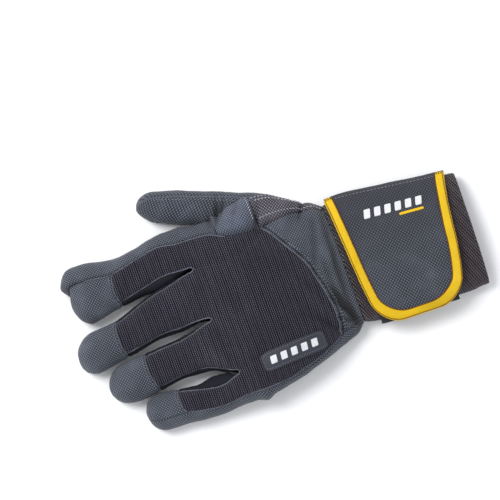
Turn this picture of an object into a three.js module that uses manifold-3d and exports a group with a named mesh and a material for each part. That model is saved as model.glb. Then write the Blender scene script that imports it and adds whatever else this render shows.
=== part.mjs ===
// A padded work glove for the left hand, lying palm down on the floor.
// Millimetres. +Y runs to the fingertips, +X to the thumb, +Z up from the floor.
import * as THREE from 'three';
import { mergeVertices } from 'three/addons/utils/BufferGeometryUtils.js';
import Module from 'manifold-3d';

const wasm = await Module();
wasm.setup();

// Hand
const palmLength = 97; // from the cuff seam to the slits beside the middle finger
const palmWidth = 130; // across the knuckles
const handHeight = 33; // floor to the top of the knuckles
const slitWidth = 1.8; // between two fingers at the bottom of their slit
const knuckleDip = 2.2; // depth of the valleys between the knuckles

// Fingers: length from the slits, width and height of the flattened tube
const indexLength = 86;
const middleLength = 93.5;
const ringLength = 83;
const littleLength = 68;
const indexWidth = 32;
const middleWidth = 31;
const ringWidth = 29;
const littleWidth = 24;
const fingerHeight = 18;

// Thumb
const thumbLength = 110; // from inside the ball of the thumb to the tip
const thumbWidth = 24;
const thumbHeight = 19;

// Cuff, closing flap and label
const cuffLength = 90;
const cuffHeight = 20;
const flapMargin = 4; // how much shorter the flap's sewn edge is than the cuff
const bindingWidth = 6.5;
const hookPeek = 1; // how far the hook tape's corners stand out along the cuff
const labelLength = 46;
const labelWidth = 12;

// Cloth thickness
const knitWall = 1.6;
const palmWall = 2.6;
const leatherWall = 1.6;
const sideWall = 1.3;
const cuffWall = 2.0;
const flapWall = 1.8;
const bindingFold = 0.7; // one layer of the folded binding
const hookWall = 1.1;
const labelWall = 0.7;
const seamGap = 0.36; // between two neighbouring pieces of cloth

const { lerp, clamp, smoothstep } = THREE.MathUtils;

/** Rows of plain numbers turned into records with named columns. */
function table(columns, rows) {
  return rows.map((row) => Object.fromEntries(columns.map((name, k) => [name, row[k]])));
}

/** A smooth curve through one column of a table, read at a share of the length. */
function read(rows, column, along) {
  const last = rows.length - 1;
  let k = 0;
  while (k < last - 1 && along > rows[k + 1].along) k += 1;
  const from = rows[k];
  const to = rows[k + 1];
  const before = rows[Math.max(k - 1, 0)];
  const after = rows[Math.min(k + 2, last)];
  const span = to.along - from.along;
  const t = clamp((along - from.along) / span, 0, 1);
  const slopeIn = ((to[column] - before[column]) / (to.along - before.along)) * span;
  const slopeOut = ((after[column] - from[column]) / (after.along - from.along)) * span;
  const t2 = t * t;
  const t3 = t2 * t;
  return (
    from[column] * (2 * t3 - 3 * t2 + 1) +
    slopeIn * (t3 - 2 * t2 + t) +
    to[column] * (3 * t2 - 2 * t3) +
    slopeOut * (t3 - t2)
  );
}

// Sections of the hand, from the cuff seam to the slits. Sides and seams are shares of the palm's width,
// tops of its height. The thumb and little seams bound the back panel and the wrist band.
const handRows = table(
  ['along', 'left', 'right', 'top', 'littleSeam', 'thumbSeam'],
  [
    [0.0, -0.277, 0.377, 0.6, -0.246, 0.345],
    [0.14, -0.346, 0.431, 0.7, -0.3, 0.375],
    [0.26, -0.388, 0.492, 0.82, -0.35, 0.38],
    [0.36, -0.415, 0.535, 0.91, -0.385, 0.37],
    [0.49, -0.438, 0.546, 0.98, -0.41, 0.36],
    [0.61, -0.446, 0.531, 1.0, -0.424, 0.36],
    [0.72, -0.462, 0.508, 0.99, -0.43, 0.38],
    [0.84, -0.465, 0.5, 0.92, -0.428, 0.425],
    [1.0, -0.469, 0.523, 0.76, -0.43, 0.435],
  ],
);

// The lines between the finger strips, as shares of the palm's width, and how far up the palm each slit starts.
const stripRows = table(
  ['wrist', 'knuckle', 'rise'],
  [
    [0.345, 0.435, 1.0],
    [0.2, 0.281, 1.0],
    [0.04, 0.003, 1.0],
    [-0.11, -0.289, 0.94],
    [-0.246, -0.43, 0.92],
  ],
);

// The fingers. Root and lean place the axis: shares of the palm's width. The sides and seams of the rows are
// shares of the finger's width beside that axis, and tops are shares of its height.
const fingerColumns = ['along', 'left', 'right', 'leftSeam', 'rightSeam', 'top'];
const fingers = [
  {
    name: 'index',
    length: indexLength,
    width: indexWidth,
    root: 0.4,
    lean: -0.042,
    cap: 0.62,
    tip: 0.36,
    rows: table(fingerColumns, [
      [0.0, -0.48, 0.52, -0.45, 0.15, 1.3],
      [0.23, -0.52, 0.51, -0.46, 0.26, 1.12],
      [0.37, -0.54, 0.46, -0.48, 0.22, 1.0],
      [0.52, -0.58, 0.43, -0.51, 0.15, 1.02],
      [0.65, -0.62, 0.49, -0.55, 0.12, 0.95],
      [0.8, -0.66, 0.6, -0.58, 0.2, 0.95],
      [1.0, -0.66, 0.62, -0.58, 0.3, 0.9],
    ]),
  },
  {
    name: 'middle',
    length: middleLength,
    width: middleWidth,
    root: 0.15,
    lean: -0.11,
    cap: 0.655,
    tip: 0.5,
    rows: table(fingerColumns, [
      [0.0, -0.52, 0.5, -0.47, 0.45, 1.3],
      [0.2, -0.5, 0.56, -0.45, 0.5, 1.15],
      [0.35, -0.43, 0.54, -0.38, 0.48, 1.02],
      [0.45, -0.42, 0.49, -0.37, 0.43, 1.06],
      [0.6, -0.44, 0.42, -0.38, 0.36, 0.98],
      [0.75, -0.45, 0.42, -0.39, 0.36, 0.97],
      [1.0, -0.49, 0.46, -0.42, 0.39, 0.9],
    ]),
  },
  {
    name: 'ring',
    length: ringLength,
    width: ringWidth,
    root: -0.131,
    lean: -0.027,
    cap: 0.63,
    tip: 0.52,
    rows: table(fingerColumns, [
      [0.0, -0.47, 0.53, -0.42, 0.47, 1.25],
      [0.2, -0.44, 0.52, -0.39, 0.46, 1.1],
      [0.33, -0.4, 0.5, -0.35, 0.44, 0.98],
      [0.46, -0.39, 0.5, -0.34, 0.43, 1.02],
      [0.6, -0.43, 0.49, -0.37, 0.42, 0.95],
      [0.75, -0.48, 0.49, -0.41, 0.42, 0.94],
      [1.0, -0.48, 0.48, -0.41, 0.41, 0.88],
    ]),
  },
  {
    name: 'little',
    length: littleLength,
    width: littleWidth,
    root: -0.385,
    lean: 0.027,
    cap: 0.63,
    tip: 0.5,
    rows: table(fingerColumns, [
      [0.0, -0.44, 0.46, -0.26, 0.4, 1.15],
      [0.2, -0.5, 0.42, -0.32, 0.36, 1.05],
      [0.35, -0.52, 0.44, -0.32, 0.38, 0.95],
      [0.5, -0.52, 0.49, -0.27, 0.43, 0.97],
      [0.65, -0.48, 0.53, -0.2, 0.46, 0.9],
      [0.8, -0.5, 0.56, -0.2, 0.49, 0.88],
      [1.0, -0.49, 0.54, -0.2, 0.47, 0.84],
    ]),
  },
];

// The thumb's sections along its bent axis, as shares of its width and height.
const thumbRows = table(
  ['along', 'left', 'right', 'leftSeam', 'rightSeam', 'top'],
  [
    [0.0, -0.5, 0.34, -0.42, 0.24, 1.05],
    [0.2, -0.6, 0.58, -0.5, 0.42, 1.15],
    [0.4, -0.5, 0.54, -0.42, 0.36, 1.05],
    [0.6, -0.47, 0.49, -0.39, 0.3, 1.0],
    [0.75, -0.47, 0.48, -0.38, 0.28, 0.98],
    [0.87, -0.42, 0.47, -0.32, 0.26, 0.95],
    [1.0, -0.3, 0.46, -0.2, 0.2, 0.85],
  ],
);

// Sections of the cuff from its seam to its open end, as shares of the palm's width and the cuff's height.
const cuffRows = table(
  ['along', 'left', 'right', 'top'],
  [
    [0.0, -0.277, 0.377, 0.99],
    [0.15, -0.292, 0.38, 0.95],
    [0.5, -0.302, 0.348, 0.9],
    [0.85, -0.308, 0.31, 0.84],
    [1.0, -0.3, 0.292, 0.8],
  ],
);

// Shares that shape every section: how high its widest level lies, how square it is, how far it is pressed flat
const levelShare = 0.42;
const squareness = 2.35;
const pressedShare = 0.12;
const palmSeamShare = 0.82; // where the palm's edge lies under a finger, from its middle to its side

/** The cross-section of a flattened tube: a squarish oval whose underside is pressed flat on the floor. */
function section(left, right, top) {
  const middle = (left + right) / 2;
  const reach = Math.max((right - left) / 2, 1e-6);
  const level = levelShare * top;
  const bend = (value) => Math.sign(value) * Math.abs(value) ** (2 / squareness);
  return {
    left,
    right,
    top,
    middle,
    reach,
    at(angle) {
      const rise = Math.sin(angle) > 0 ? top - level : level + pressedShare * top;
      const z = level + rise * bend(Math.sin(angle));
      return { x: middle + reach * bend(Math.cos(angle)), z: Math.max(z, 0) };
    },
    over(x) {
      const share = clamp((x - middle) / reach, -1, 1);
      return Math.acos(Math.sign(share) * Math.abs(share) ** (squareness / 2));
    },
    under(x) {
      return 2 * Math.PI - this.over(x);
    },
  };
}

/** The angles of a ring of points: each stretch between two stops is cut into its own number of steps. */
function spread(stops, steps) {
  const angles = [];
  steps.forEach((count, k) => {
    for (let i = 0; i < count; i += 1) angles.push(lerp(stops[k], stops[k + 1], i / count));
  });
  return angles;
}

const ySeam = 0; // the cuff seam lies on the X axis until the glove is centred
const acrossSteps = 4; // columns over the back or the front of each finger
const sideSteps = 4; // columns round each side
const fingerCount = fingers.length;
const overSteps = acrossSteps * fingerCount;

/** The hand's section at a share of the palm's length. */
function handSection(along) {
  const share = (column) => palmWidth * read(handRows, column, along);
  return section(share('left'), share('right'), handHeight * read(handRows, 'top', along));
}

/** Where the line between two finger strips lies, from the thumb side (0) to the little side (4). */
function stripLine(k, along) {
  if (k === 0) return palmWidth * read(handRows, 'thumbSeam', along);
  if (k === fingerCount) return palmWidth * read(handRows, 'littleSeam', along);
  return palmWidth * lerp(stripRows[k].wrist, stripRows[k].knuckle, along);
}

/** The same lines under the palm; the outer two lie nearer to the sides. */
function palmLine(k, along) {
  const { middle, reach } = handSection(along);
  if (k === 0) return middle + palmSeamShare * reach;
  if (k === fingerCount) return middle - palmSeamShare * reach;
  return stripLine(k, along);
}

const dipStart = 0.55; // how far up the palm the valleys between the knuckles start

/** Depth of the valley between the knuckles at a share of a strip's width. */
function dip(across, along) {
  const valley = Math.abs(2 * across - 1) ** 3;
  return knuckleDip * valley * smoothstep(along, dipStart, 1);
}

// Folds and dents in the back: where they lie and how wide they are as shares of the palm's width and length,
// turn from the X axis in degrees, depth in millimetres
const backFolds = table(
  ['x', 'along', 'turn', 'reach', 'width', 'depth'],
  [
    [-0.3, 0.17, 70, 0.09, 0.045, 3.2],
    [0.3, 0.3, -50, 0.1, 0.05, 1.6],
    [0.12, 0.78, 8, 0.16, 0.045, 1.1],
    [-0.26, 0.74, -12, 0.12, 0.04, 1.1],
  ],
);

/** How deep the folds are at a point of the back. */
function foldDepth(x, along) {
  return backFolds.reduce((sum, fold) => {
    const place = new THREE.Vector2(x - fold.x * palmWidth, (along - fold.along) * palmLength);
    place.rotateAround(new THREE.Vector2(), -THREE.MathUtils.degToRad(fold.turn));
    const far = (place.x / (fold.reach * palmWidth)) ** 2 + (place.y / (fold.width * palmWidth)) ** 2;
    return sum + fold.depth * Math.exp(-far);
  }, 0);
}

/** One ring of points round the hand, from the thumb seam over the back and back under the palm. */
function handRing(alongAt) {
  const ring = [];
  const columns = 2 * overSteps + 2 * sideSteps;
  for (let c = 0; c < columns; c += 1) {
    const along = alongAt(c);
    const hand = handSection(along);
    const over = Array.from({ length: fingerCount + 1 }, (_, k) => hand.over(stripLine(k, along)));
    const under = Array.from({ length: fingerCount + 1 }, (_, k) => hand.under(palmLine(k, along)));
    const stops = [...over, ...under.reverse(), 2 * Math.PI + over[0]];
    const steps = [
      ...Array(fingerCount).fill(acrossSteps),
      sideSteps,
      ...Array(fingerCount).fill(acrossSteps),
      sideSteps,
    ];
    const { x, z } = hand.at(spread(stops, steps)[c]);
    const onBack = c <= overSteps;
    const valley = c > 0 && c < overSteps ? dip((c % acrossSteps) / acrossSteps, along) : 0;
    const drop = onBack ? valley + foldDepth(x, along) : 0;
    ring.push(new THREE.Vector3(x, ySeam + along * palmLength, z - drop));
  }
  return ring;
}

// The curved seam between the wrist band and the back panel: low point, and rise to each side
const bandLow = 0.18;
const bandThumbRise = 0.29;
const bandLittleRise = 0.06;
const bandLowAt = 0.62;

/** How far up the palm the band's seam lies, from the thumb seam (0) to the little seam (1). */
function bandSeam(across) {
  if (across < bandLowAt) return bandLow + bandThumbRise * (1 - across / bandLowAt) ** 2;
  return bandLow + bandLittleRise * ((across - bandLowAt) / (1 - bandLowAt)) ** 2;
}

/** Reads a value that is known along the back, and carries it round the sides and under the palm. */
function roundRing(valueAcross, column) {
  const littleSide = overSteps + sideSteps;
  const thumbSide = 2 * overSteps + sideSteps;
  if (column <= overSteps) return valueAcross(column / overSteps);
  if (column <= littleSide) return valueAcross(1);
  if (column >= thumbSide) return valueAcross(0);
  return lerp(valueAcross(1), valueAcross(0), smoothstep(column, littleSide, thumbSide));
}

/** How far up the palm the slits start, from the thumb side (0) to the little side (1). */
function slitRise(across) {
  const k = Math.min(Math.floor(across * fingerCount), fingerCount - 1);
  return lerp(stripRows[k].rise, stripRows[k + 1].rise, across * fingerCount - k);
}

/** The same under the palm, strip by strip. */
function slitRiseAt(column) {
  const thumbSide = 2 * overSteps + sideSteps;
  if (column <= overSteps) return slitRise(column / overSteps);
  if (column <= overSteps + sideSteps) return slitRise(1);
  if (column >= thumbSide) return slitRise(0);
  return slitRise((thumbSide - column) / overSteps);
}

const sharpestCorner = 0.6; // keeps a corner's share of the seam's gap within bounds

/** A surface of shared points whose faces carry the name of the piece that they belong to. */
class Skin {
  constructor() {
    this.points = [];
    this.index = new Map();
    this.faces = [];
  }

  vertex(point) {
    const key = point.toArray().map((value) => Math.round(value * 1e4)).join();
    if (!this.index.has(key)) {
      this.index.set(key, this.points.length);
      this.points.push(point.clone());
    }
    return this.index.get(key);
  }

  face(name, ...corners) {
    const loop = corners.map((corner) => this.vertex(corner)).filter((v, k, all) => v !== all.at(k - 1));
    for (let k = 1; k + 1 < loop.length; k += 1) {
      const tri = [loop[0], loop[k], loop[k + 1]];
      if (new Set(tri).size === 3) this.faces.push({ name, tri });
    }
  }

  /** Faces between two rings of points; name(column) gives the piece. */
  join(lower, upper, name, closed = true) {
    const count = lower.length;
    for (let c = 0; c < (closed ? count : count - 1); c += 1) {
      const next = (c + 1) % count;
      const piece = name(c);
      if (piece) this.face(piece, lower[c], upper[c], upper[next], lower[next]);
    }
  }

  /** The outward direction at every point, from all the faces that meet there. */
  normals() {
    const sums = this.points.map(() => new THREE.Vector3());
    this.faces.forEach(({ tri }) => {
      const [a, b, c] = tri.map((v) => this.points[v]);
      const normal = b.clone().sub(a).cross(c.clone().sub(a));
      tri.forEach((v) => sums[v].add(normal));
    });
    return sums.map((sum) => sum.normalize());
  }

  /** One piece of cloth as a closed solid: its faces, the same faces inside them, and walls along its seams. */
  piece(name, wall) {
    const normals = this.normals();
    const tris = this.faces.filter((face) => face.name === name).map((face) => face.tri);
    const edges = new Map();
    tris.forEach((tri) => {
      tri.forEach((from, k) => edges.set(`${from},${tri[(k + 1) % 3]}`, [from, tri[(k + 1) % 3]]));
    });
    const border = [...edges.values()].filter(([from, to]) => !edges.has(`${to},${from}`));
    const inward = new Map();
    border.forEach(([from, to]) => {
      const run = this.points[to].clone().sub(this.points[from]).normalize();
      [from, to].forEach((v) => {
        const across = normals[v].clone().cross(run).normalize();
        inward.set(v, [...(inward.get(v) ?? []), across]);
      });
    });
    const used = [...new Set(tris.flat())];
    const place = new Map(used.map((v, k) => [v, k]));
    const outer = used.map((v) => {
      const point = this.points[v].clone();
      const ways = inward.get(v);
      if (!ways) return point;
      const sum = ways.reduce((total, way) => total.add(way), new THREE.Vector3()).normalize();
      const turn = Math.max(sum.dot(ways[0]), sharpestCorner);
      point.addScaledVector(sum, seamGap / 2 / turn);
      return point.setZ(Math.max(point.z, 0));
    });
    const inner = used.map((v, k) => outer[k].clone().addScaledVector(normals[v], -wall));
    const count = used.length;
    const triangles = [];
    tris.forEach((tri) => {
      const [a, b, c] = tri.map((v) => place.get(v));
      triangles.push([a, b, c], [count + a, count + c, count + b]);
    });
    border.forEach(([from, to]) => {
      const a = place.get(from);
      const b = place.get(to);
      triangles.push([b, a, count + a], [b, count + a, count + b]);
    });
    return solid([...outer, ...inner], triangles);
  }
}

/** A closed geometry from points and triangles. */
function solid(points, triangles) {
  const geometry = new THREE.BufferGeometry();
  geometry.setAttribute('position', new THREE.Float32BufferAttribute(points.flatMap((p) => p.toArray()), 3));
  geometry.setIndex(triangles.flat());
  return geometry;
}

const skin = new Skin();

// The hand: rings up to the band's seam, then up to the slits
const bandRings = 3;
const backRings = 7;
const bandAt = (column) => roundRing(bandSeam, column);
const slitStart = slitWidth / palmLength; // the last ring that the finger strips share lies this far below the slits
const handRings = [];
for (let j = 0; j <= bandRings; j += 1) {
  handRings.push(handRing((c) => (bandAt(c) * j) / bandRings));
}
for (let j = 1; j <= backRings; j += 1) {
  handRings.push(handRing((c) => lerp(bandAt(c), slitRiseAt(c) - slitStart, j / backRings)));
}

const petalRings = 4; // rings of the back that the thumb gusset spans
const thumbSideStart = 2 * overSteps + sideSteps;
const thumbSideMiddle = thumbSideStart + sideSteps / 2;
handRings.slice(0, -1).forEach((ring, j) => {
  skin.join(ring, handRings[j + 1], (c) => {
    if (c < overSteps) return j < bandRings ? 'wrist_band' : 'back_panel';
    if (c < thumbSideMiddle) return 'palm_panel';
    if (j < bandRings) return 'wrist_gusset';
    return j < bandRings + petalRings ? 'thumb_gusset' : 'palm_panel';
  });
});

// The fingers, each a ring that starts as its strip of the hand and grows into a tube
const rootBlend = 0.24; // share of the finger over which it turns from a strip of the hand into a tube
const fingerRings = 7; // from the slit to the cap
const capRings = 6; // from the cap's seam to the tip
const capBow = 2.2; // how far the middle of the cap's seam lies towards the tip
const ringSteps = [acrossSteps, sideSteps, acrossSteps, sideSteps];
const ringCount = 2 * acrossSteps + 2 * sideSteps;

/** The strip of the hand at the slits that finger f starts from. */
function rootRing(f) {
  const top = (k) => stripRows[k].rise;
  const yAt = (k) => ySeam + top(k) * palmLength;
  const handPoint = (along, angle, shift, drop) => {
    const { x, z } = handSection(along).at(angle);
    return new THREE.Vector3(x + shift, ySeam + along * palmLength, z - drop);
  };
  const half = slitWidth / 2;
  const strip = (line, angleOf, across, onBack) => {
    const along = lerp(top(f), top(f + 1), across);
    const hand = handSection(along);
    const angle = lerp(hand[angleOf](line(f, along)), hand[angleOf](line(f + 1, along)), across);
    const shift = lerp(f === 0 ? 0 : -half, f === fingerCount - 1 ? 0 : half, across);
    const outer = (f === 0 && across === 0) || (f === fingerCount - 1 && across === 1);
    const valley = outer ? 0 : dip(across, along);
    return handPoint(along, angle, shift, onBack ? valley + foldDepth(hand.at(angle).x, along) : 0);
  };
  const back = Array.from({ length: acrossSteps + 1 }, (_, k) => strip(stripLine, 'over', k / acrossSteps, true));
  const front = Array.from({ length: acrossSteps + 1 }, (_, k) =>
    strip(palmLine, 'under', 1 - k / acrossSteps, false),
  );
  const side = (from, to, k, isOuter) => {
    if (!isOuter) {
      return Array.from({ length: sideSteps - 1 }, (_, i) => from.clone().lerp(to, (i + 1) / sideSteps));
    }
    const hand = handSection(top(k));
    const start = k === 0 ? hand.under(palmLine(0, top(k))) : hand.over(stripLine(k, top(k)));
    const end = k === 0 ? 2 * Math.PI + hand.over(stripLine(0, top(k))) : hand.under(palmLine(k, top(k)));
    return Array.from({ length: sideSteps - 1 }, (_, i) => {
      const { x, z } = hand.at(lerp(start, end, (i + 1) / sideSteps));
      return new THREE.Vector3(x, yAt(k), z);
    });
  };
  return [
    ...back,
    ...side(back.at(-1), front[0], f + 1, f === fingerCount - 1),
    ...front,
    ...side(front.at(-1), back[0], f, f === 0),
  ];
}

const tipSquareness = 2.2; // 2 makes a tip that is a half circle from above
const tipFlatness = 0.7; // how slowly the height closes towards the tip
const tipLevel = 0.36; // how high the very tip lies, as a share of the height there

/** How much of the full section is left towards a round tip that starts at `start`. */
function tipShrink(along, start) {
  const into = clamp((along - start) / (1 - start), 0, 1);
  return Math.sqrt(Math.max(1 - into ** tipSquareness, 0));
}

/** A ring of finger f at a share of its length. */
function fingerRing(f, along, root) {
  const finger = fingers[f];
  const tipStart = 1 - (finger.tip * finger.width) / finger.length;
  const shrink = tipShrink(along, tipStart);
  const axis = palmWidth * (finger.root + finger.lean * along);
  const sideAt = (column) => finger.width * read(finger.rows, column, along);
  const top = fingerHeight * read(finger.rows, 'top', along);
  const middle = (sideAt('left') + sideAt('right')) / 2;
  const narrowed = (value) => axis + middle + (value - middle) * shrink;
  const tube = section(narrowed(sideAt('left')), narrowed(sideAt('right')), top);
  const { reach } = tube;
  const stops = [
    tube.over(narrowed(sideAt('rightSeam'))),
    tube.over(narrowed(sideAt('leftSeam'))),
    tube.under(tube.middle - palmSeamShare * reach),
    tube.under(tube.middle + palmSeamShare * reach),
    2 * Math.PI + tube.over(narrowed(sideAt('rightSeam'))),
  ];
  const blend = smoothstep(along, 0, rootBlend);
  const tip = ySeam + ((stripRows[f].rise + stripRows[f + 1].rise) / 2) * palmLength + finger.length;
  return spread(stops, ringSteps).map((angle, c) => {
    const { x, z } = tube.at(angle);
    const across = c / acrossSteps;
    const bow = c < acrossSteps ? capBow * (1 - (2 * across - 1) ** 2) * Math.sin(Math.PI * along) : 0;
    const y = lerp(root[c].y, tip, along) + bow;
    const closing = lerp(tipLevel * top, z, shrink ** tipFlatness);
    return new THREE.Vector3(lerp(root[c].x, x, blend), y, lerp(root[c].z, closing, blend));
  });
}

const shared = handRings.at(-1);
const roots = fingers.map((_, f) => rootRing(f));
fingers.forEach((finger, f) => {
  const fourchette = (k) => `fourchette_${fingers[k].name}_${fingers[k + 1].name}`;
  const isIndex = f === 0;
  const isLittle = f === fingerCount - 1;
  const rings = [roots[f]];
  for (let j = 1; j <= fingerRings; j += 1) {
    rings.push(fingerRing(f, (finger.cap * j) / fingerRings, roots[f]));
  }
  for (let j = 1; j <= capRings; j += 1) {
    const towards = Math.sin((Math.PI / 2) * (j / capRings));
    rings.push(fingerRing(f, lerp(finger.cap, 1, towards), roots[f]));
  }
  const leftSide = acrossSteps;
  const front = leftSide + sideSteps;
  const rightSide = front + acrossSteps;
  rings.slice(0, -1).forEach((ring, j) => {
    const inCap = j >= fingerRings;
    skin.join(ring, rings[j + 1], (c) => {
      if (c < leftSide) return inCap ? `cap_${finger.name}` : 'back_panel';
      if (c >= front && c < rightSide) return 'palm_panel';
      const onLeft = c < front;
      const nearBack = onLeft ? c < leftSide + sideSteps / 2 : c >= rightSide + sideSteps / 2;
      if ((onLeft && isLittle) || (!onLeft && isIndex)) {
        return 'palm_panel';
      }
      if (inCap) return nearBack ? `cap_${finger.name}` : 'palm_panel';
      return fourchette(onLeft ? f : f - 1);
    });
  });

  // Between the last ring of the hand and the finger's root
  const back = shared.slice(f * acrossSteps, (f + 1) * acrossSteps + 1);
  skin.join(back, roots[f].slice(0, acrossSteps + 1), () => 'back_panel', false);
  const frontEnd = thumbSideStart - f * acrossSteps;
  const palm = shared.slice(frontEnd - acrossSteps, frontEnd + 1);
  skin.join(palm, roots[f].slice(front, rightSide + 1), () => 'palm_panel', false);
  if (isIndex) {
    const side = [...shared.slice(thumbSideStart), shared[0]];
    skin.join(side, [...roots[f].slice(rightSide), roots[f][0]], () => 'palm_panel', false);
  }
  if (isLittle) {
    const side = shared.slice(overSteps, overSteps + sideSteps + 1);
    skin.join(side, roots[f].slice(leftSide, front + 1), () => 'palm_panel', false);
  }

  // The bottom of the slit towards the next finger
  if (!isLittle) {
    const mine = roots[f].slice(leftSide, front + 1);
    const next = [...roots[f + 1].slice(rightSide), roots[f + 1][0]].reverse();
    for (let k = 0; k < sideSteps; k += 1) {
      skin.face(fourchette(f), mine[k], mine[k + 1], next[k + 1], next[k]);
    }
    skin.face('back_panel', back.at(-1), mine[0], next[0]);
    skin.face('palm_panel', palm[0], next.at(-1), mine.at(-1));
  }
});

// The thumb: a bent tube whose root lies inside the ball of the thumb
const thumbBend = 0.33; // how far each end's direction holds, as a share of the thumb's length
const thumbRoot = new THREE.Vector2(0.335 * palmWidth, 0.2 * palmLength);
const thumbRootLean = THREE.MathUtils.degToRad(34);
const thumbTipLean = THREE.MathUtils.degToRad(15);
const thumbTip = thumbRoot.clone().add(new THREE.Vector2(0.422 * thumbLength, 0.912 * thumbLength));
const towards = (lean, share) =>
  new THREE.Vector2(Math.sin(lean), Math.cos(lean)).multiplyScalar(share * thumbLength);
const thumbAxis = new THREE.CubicBezierCurve(
  thumbRoot,
  thumbRoot.clone().add(towards(thumbRootLean, thumbBend)),
  thumbTip.clone().sub(towards(thumbTipLean, thumbBend)),
  thumbTip,
);
const thumbRings = 10;
const thumbTipRings = 6;
const thumbTipStart = 1 - (0.55 * thumbWidth) / thumbLength;

/** A ring of the thumb, square to its axis. */
function thumbRing(along) {
  const shrink = tipShrink(along, thumbTipStart);
  const centre = thumbAxis.getPointAt(along);
  const heading = thumbAxis.getTangentAt(along);
  const sideAt = (column) => thumbWidth * read(thumbRows, column, along);
  const narrowed = (column) => sideAt(column) * shrink;
  const top = thumbHeight * read(thumbRows, 'top', along);
  const tube = section(narrowed('left'), narrowed('right'), top);
  const stops = [
    tube.over(narrowed('rightSeam')),
    tube.over(narrowed('leftSeam')),
    tube.under(tube.middle - palmSeamShare * tube.reach),
    tube.under(tube.middle + palmSeamShare * tube.reach),
    2 * Math.PI + tube.over(narrowed('rightSeam')),
  ];
  return spread(stops, ringSteps).map((angle) => {
    const { x, z } = tube.at(angle);
    const closing = lerp(tipLevel * top, z, shrink ** tipFlatness);
    return new THREE.Vector3(centre.x + heading.y * x, ySeam + centre.y - heading.x * x, closing);
  });
}

const thumbSkin = new Skin();
const thumbStations = [];
for (let j = 0; j <= thumbRings; j += 1) thumbStations.push((thumbTipStart * j) / thumbRings);
for (let j = 1; j <= thumbTipRings; j += 1) {
  thumbStations.push(lerp(thumbTipStart, 1, Math.sin((Math.PI / 2) * (j / thumbTipRings))));
}
const thumbTube = thumbStations.map(thumbRing);
thumbTube.slice(0, -1).forEach((ring, j) => {
  const backColumns = acrossSteps + sideSteps / 2;
  thumbSkin.join(ring, thumbTube[j + 1], (c) => (c < backColumns ? 'thumb_back' : 'thumb_front'));
});

/** A closed solid through rings of points, grown outwards by `grow`. */
function filled(rings, grow) {
  const block = new Skin();
  rings.slice(0, -1).forEach((ring, j) => block.join(ring, rings[j + 1], () => 'block'));
  const lid = (ring, flip) => {
    const centre = ring.reduce((sum, p) => sum.add(p), new THREE.Vector3()).divideScalar(ring.length);
    ring.forEach((point, k) => {
      const next = ring[(k + 1) % ring.length];
      if (flip) block.face('block', centre, next, point);
      else block.face('block', centre, point, next);
    });
  };
  lid(rings[0], false);
  if (rings.at(-1)[0].distanceTo(rings.at(-1)[1]) > 1e-3) lid(rings.at(-1), true);
  const normals = block.normals();
  const points = block.points.map((point, k) => point.clone().addScaledVector(normals[k], grow));
  return solid(points, block.faces.map((face) => face.tri));
}

/** A geometry as a manifold solid, for cutting. */
function toManifold(geometry) {
  const plain = mergeVertices(geometry, 1e-5);
  return new wasm.Manifold(
    new wasm.Mesh({
      numProp: 3,
      vertProperties: new Float32Array(plain.attributes.position.array),
      triVerts: new Uint32Array(plain.index.array),
    }),
  );
}

/** Cuts `tool` out of `geometry` and keeps the largest body that is left. */
function cut(geometry, tool) {
  const bodies = toManifold(geometry).subtract(toManifold(tool)).decompose();
  const largest = bodies.reduce((best, body) => (body.volume() > best.volume() ? body : best));
  const { vertProperties, triVerts } = largest.getMesh();
  const result = new THREE.BufferGeometry();
  result.setAttribute('position', new THREE.BufferAttribute(new Float32Array(vertProperties), 3));
  result.setIndex(Array.from(triVerts));
  return result;
}

const thumbBlock = filled(thumbTube, seamGap);
const handBlock = filled(handRings, -palmWall);

// The cuff: a flattened open tube that butts against the hand
const cuffRings = 7;
const cuffSkin = new Skin();
const cuffColumns = 28;

/** The cuff's section at a share of its length from the seam. */
function cuffSection(along) {
  const share = (column) => palmWidth * read(cuffRows, column, along);
  return section(share('left'), share('right'), cuffHeight * read(cuffRows, 'top', along));
}

/** A ring of the cuff. */
function cuffRing(along) {
  const tube = cuffSection(along);
  return Array.from({ length: cuffColumns }, (_, c) => {
    const { x, z } = tube.at((2 * Math.PI * c) / cuffColumns);
    return new THREE.Vector3(x, ySeam - along * cuffLength, z);
  });
}

const cuffTube = Array.from({ length: cuffRings + 1 }, (_, j) => cuffRing(j / cuffRings)).reverse();
cuffTube.slice(0, -1).forEach((ring, j) => cuffSkin.join(ring, cuffTube[j + 1], () => 'cuff'));

// The flap is wrapped round the cuff's thumb side and lies over its back. Its points are told by how far round
// they lie, from the sewn edge (0) to the free end (1), by their place along the cuff, and by their height off it.
const flapBendAt = 0.86; // up to here the flap follows the cuff; past it, it sticks out and droops
const flapBendShare = 0.72; // where that is, from the cuff's middle to its side
const flapLiftFrom = 0.45; // from here the flap lifts off the cuff, to make room for the hook tape
const flapLiftTo = 0.66;
const flapOverhang = 3; // how far the free end sticks out past the cuff
const flapDroop = 3.5;
const flapWidth = cuffLength - flapMargin;
const flapSpan = 0.74 * palmWidth; // length of the cloth from the sewn edge to the free end
const flapTaper = 0.33; // share of the width that the long sides lose before the corners turn
const flapEndShare = 0.3; // width of the free end between its round corners
const flapRoundAt = 0.84; // where the corners start to turn
const flapSkew = 0.07; // how far the free end is shifted towards the hand, as a share of the width

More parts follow.
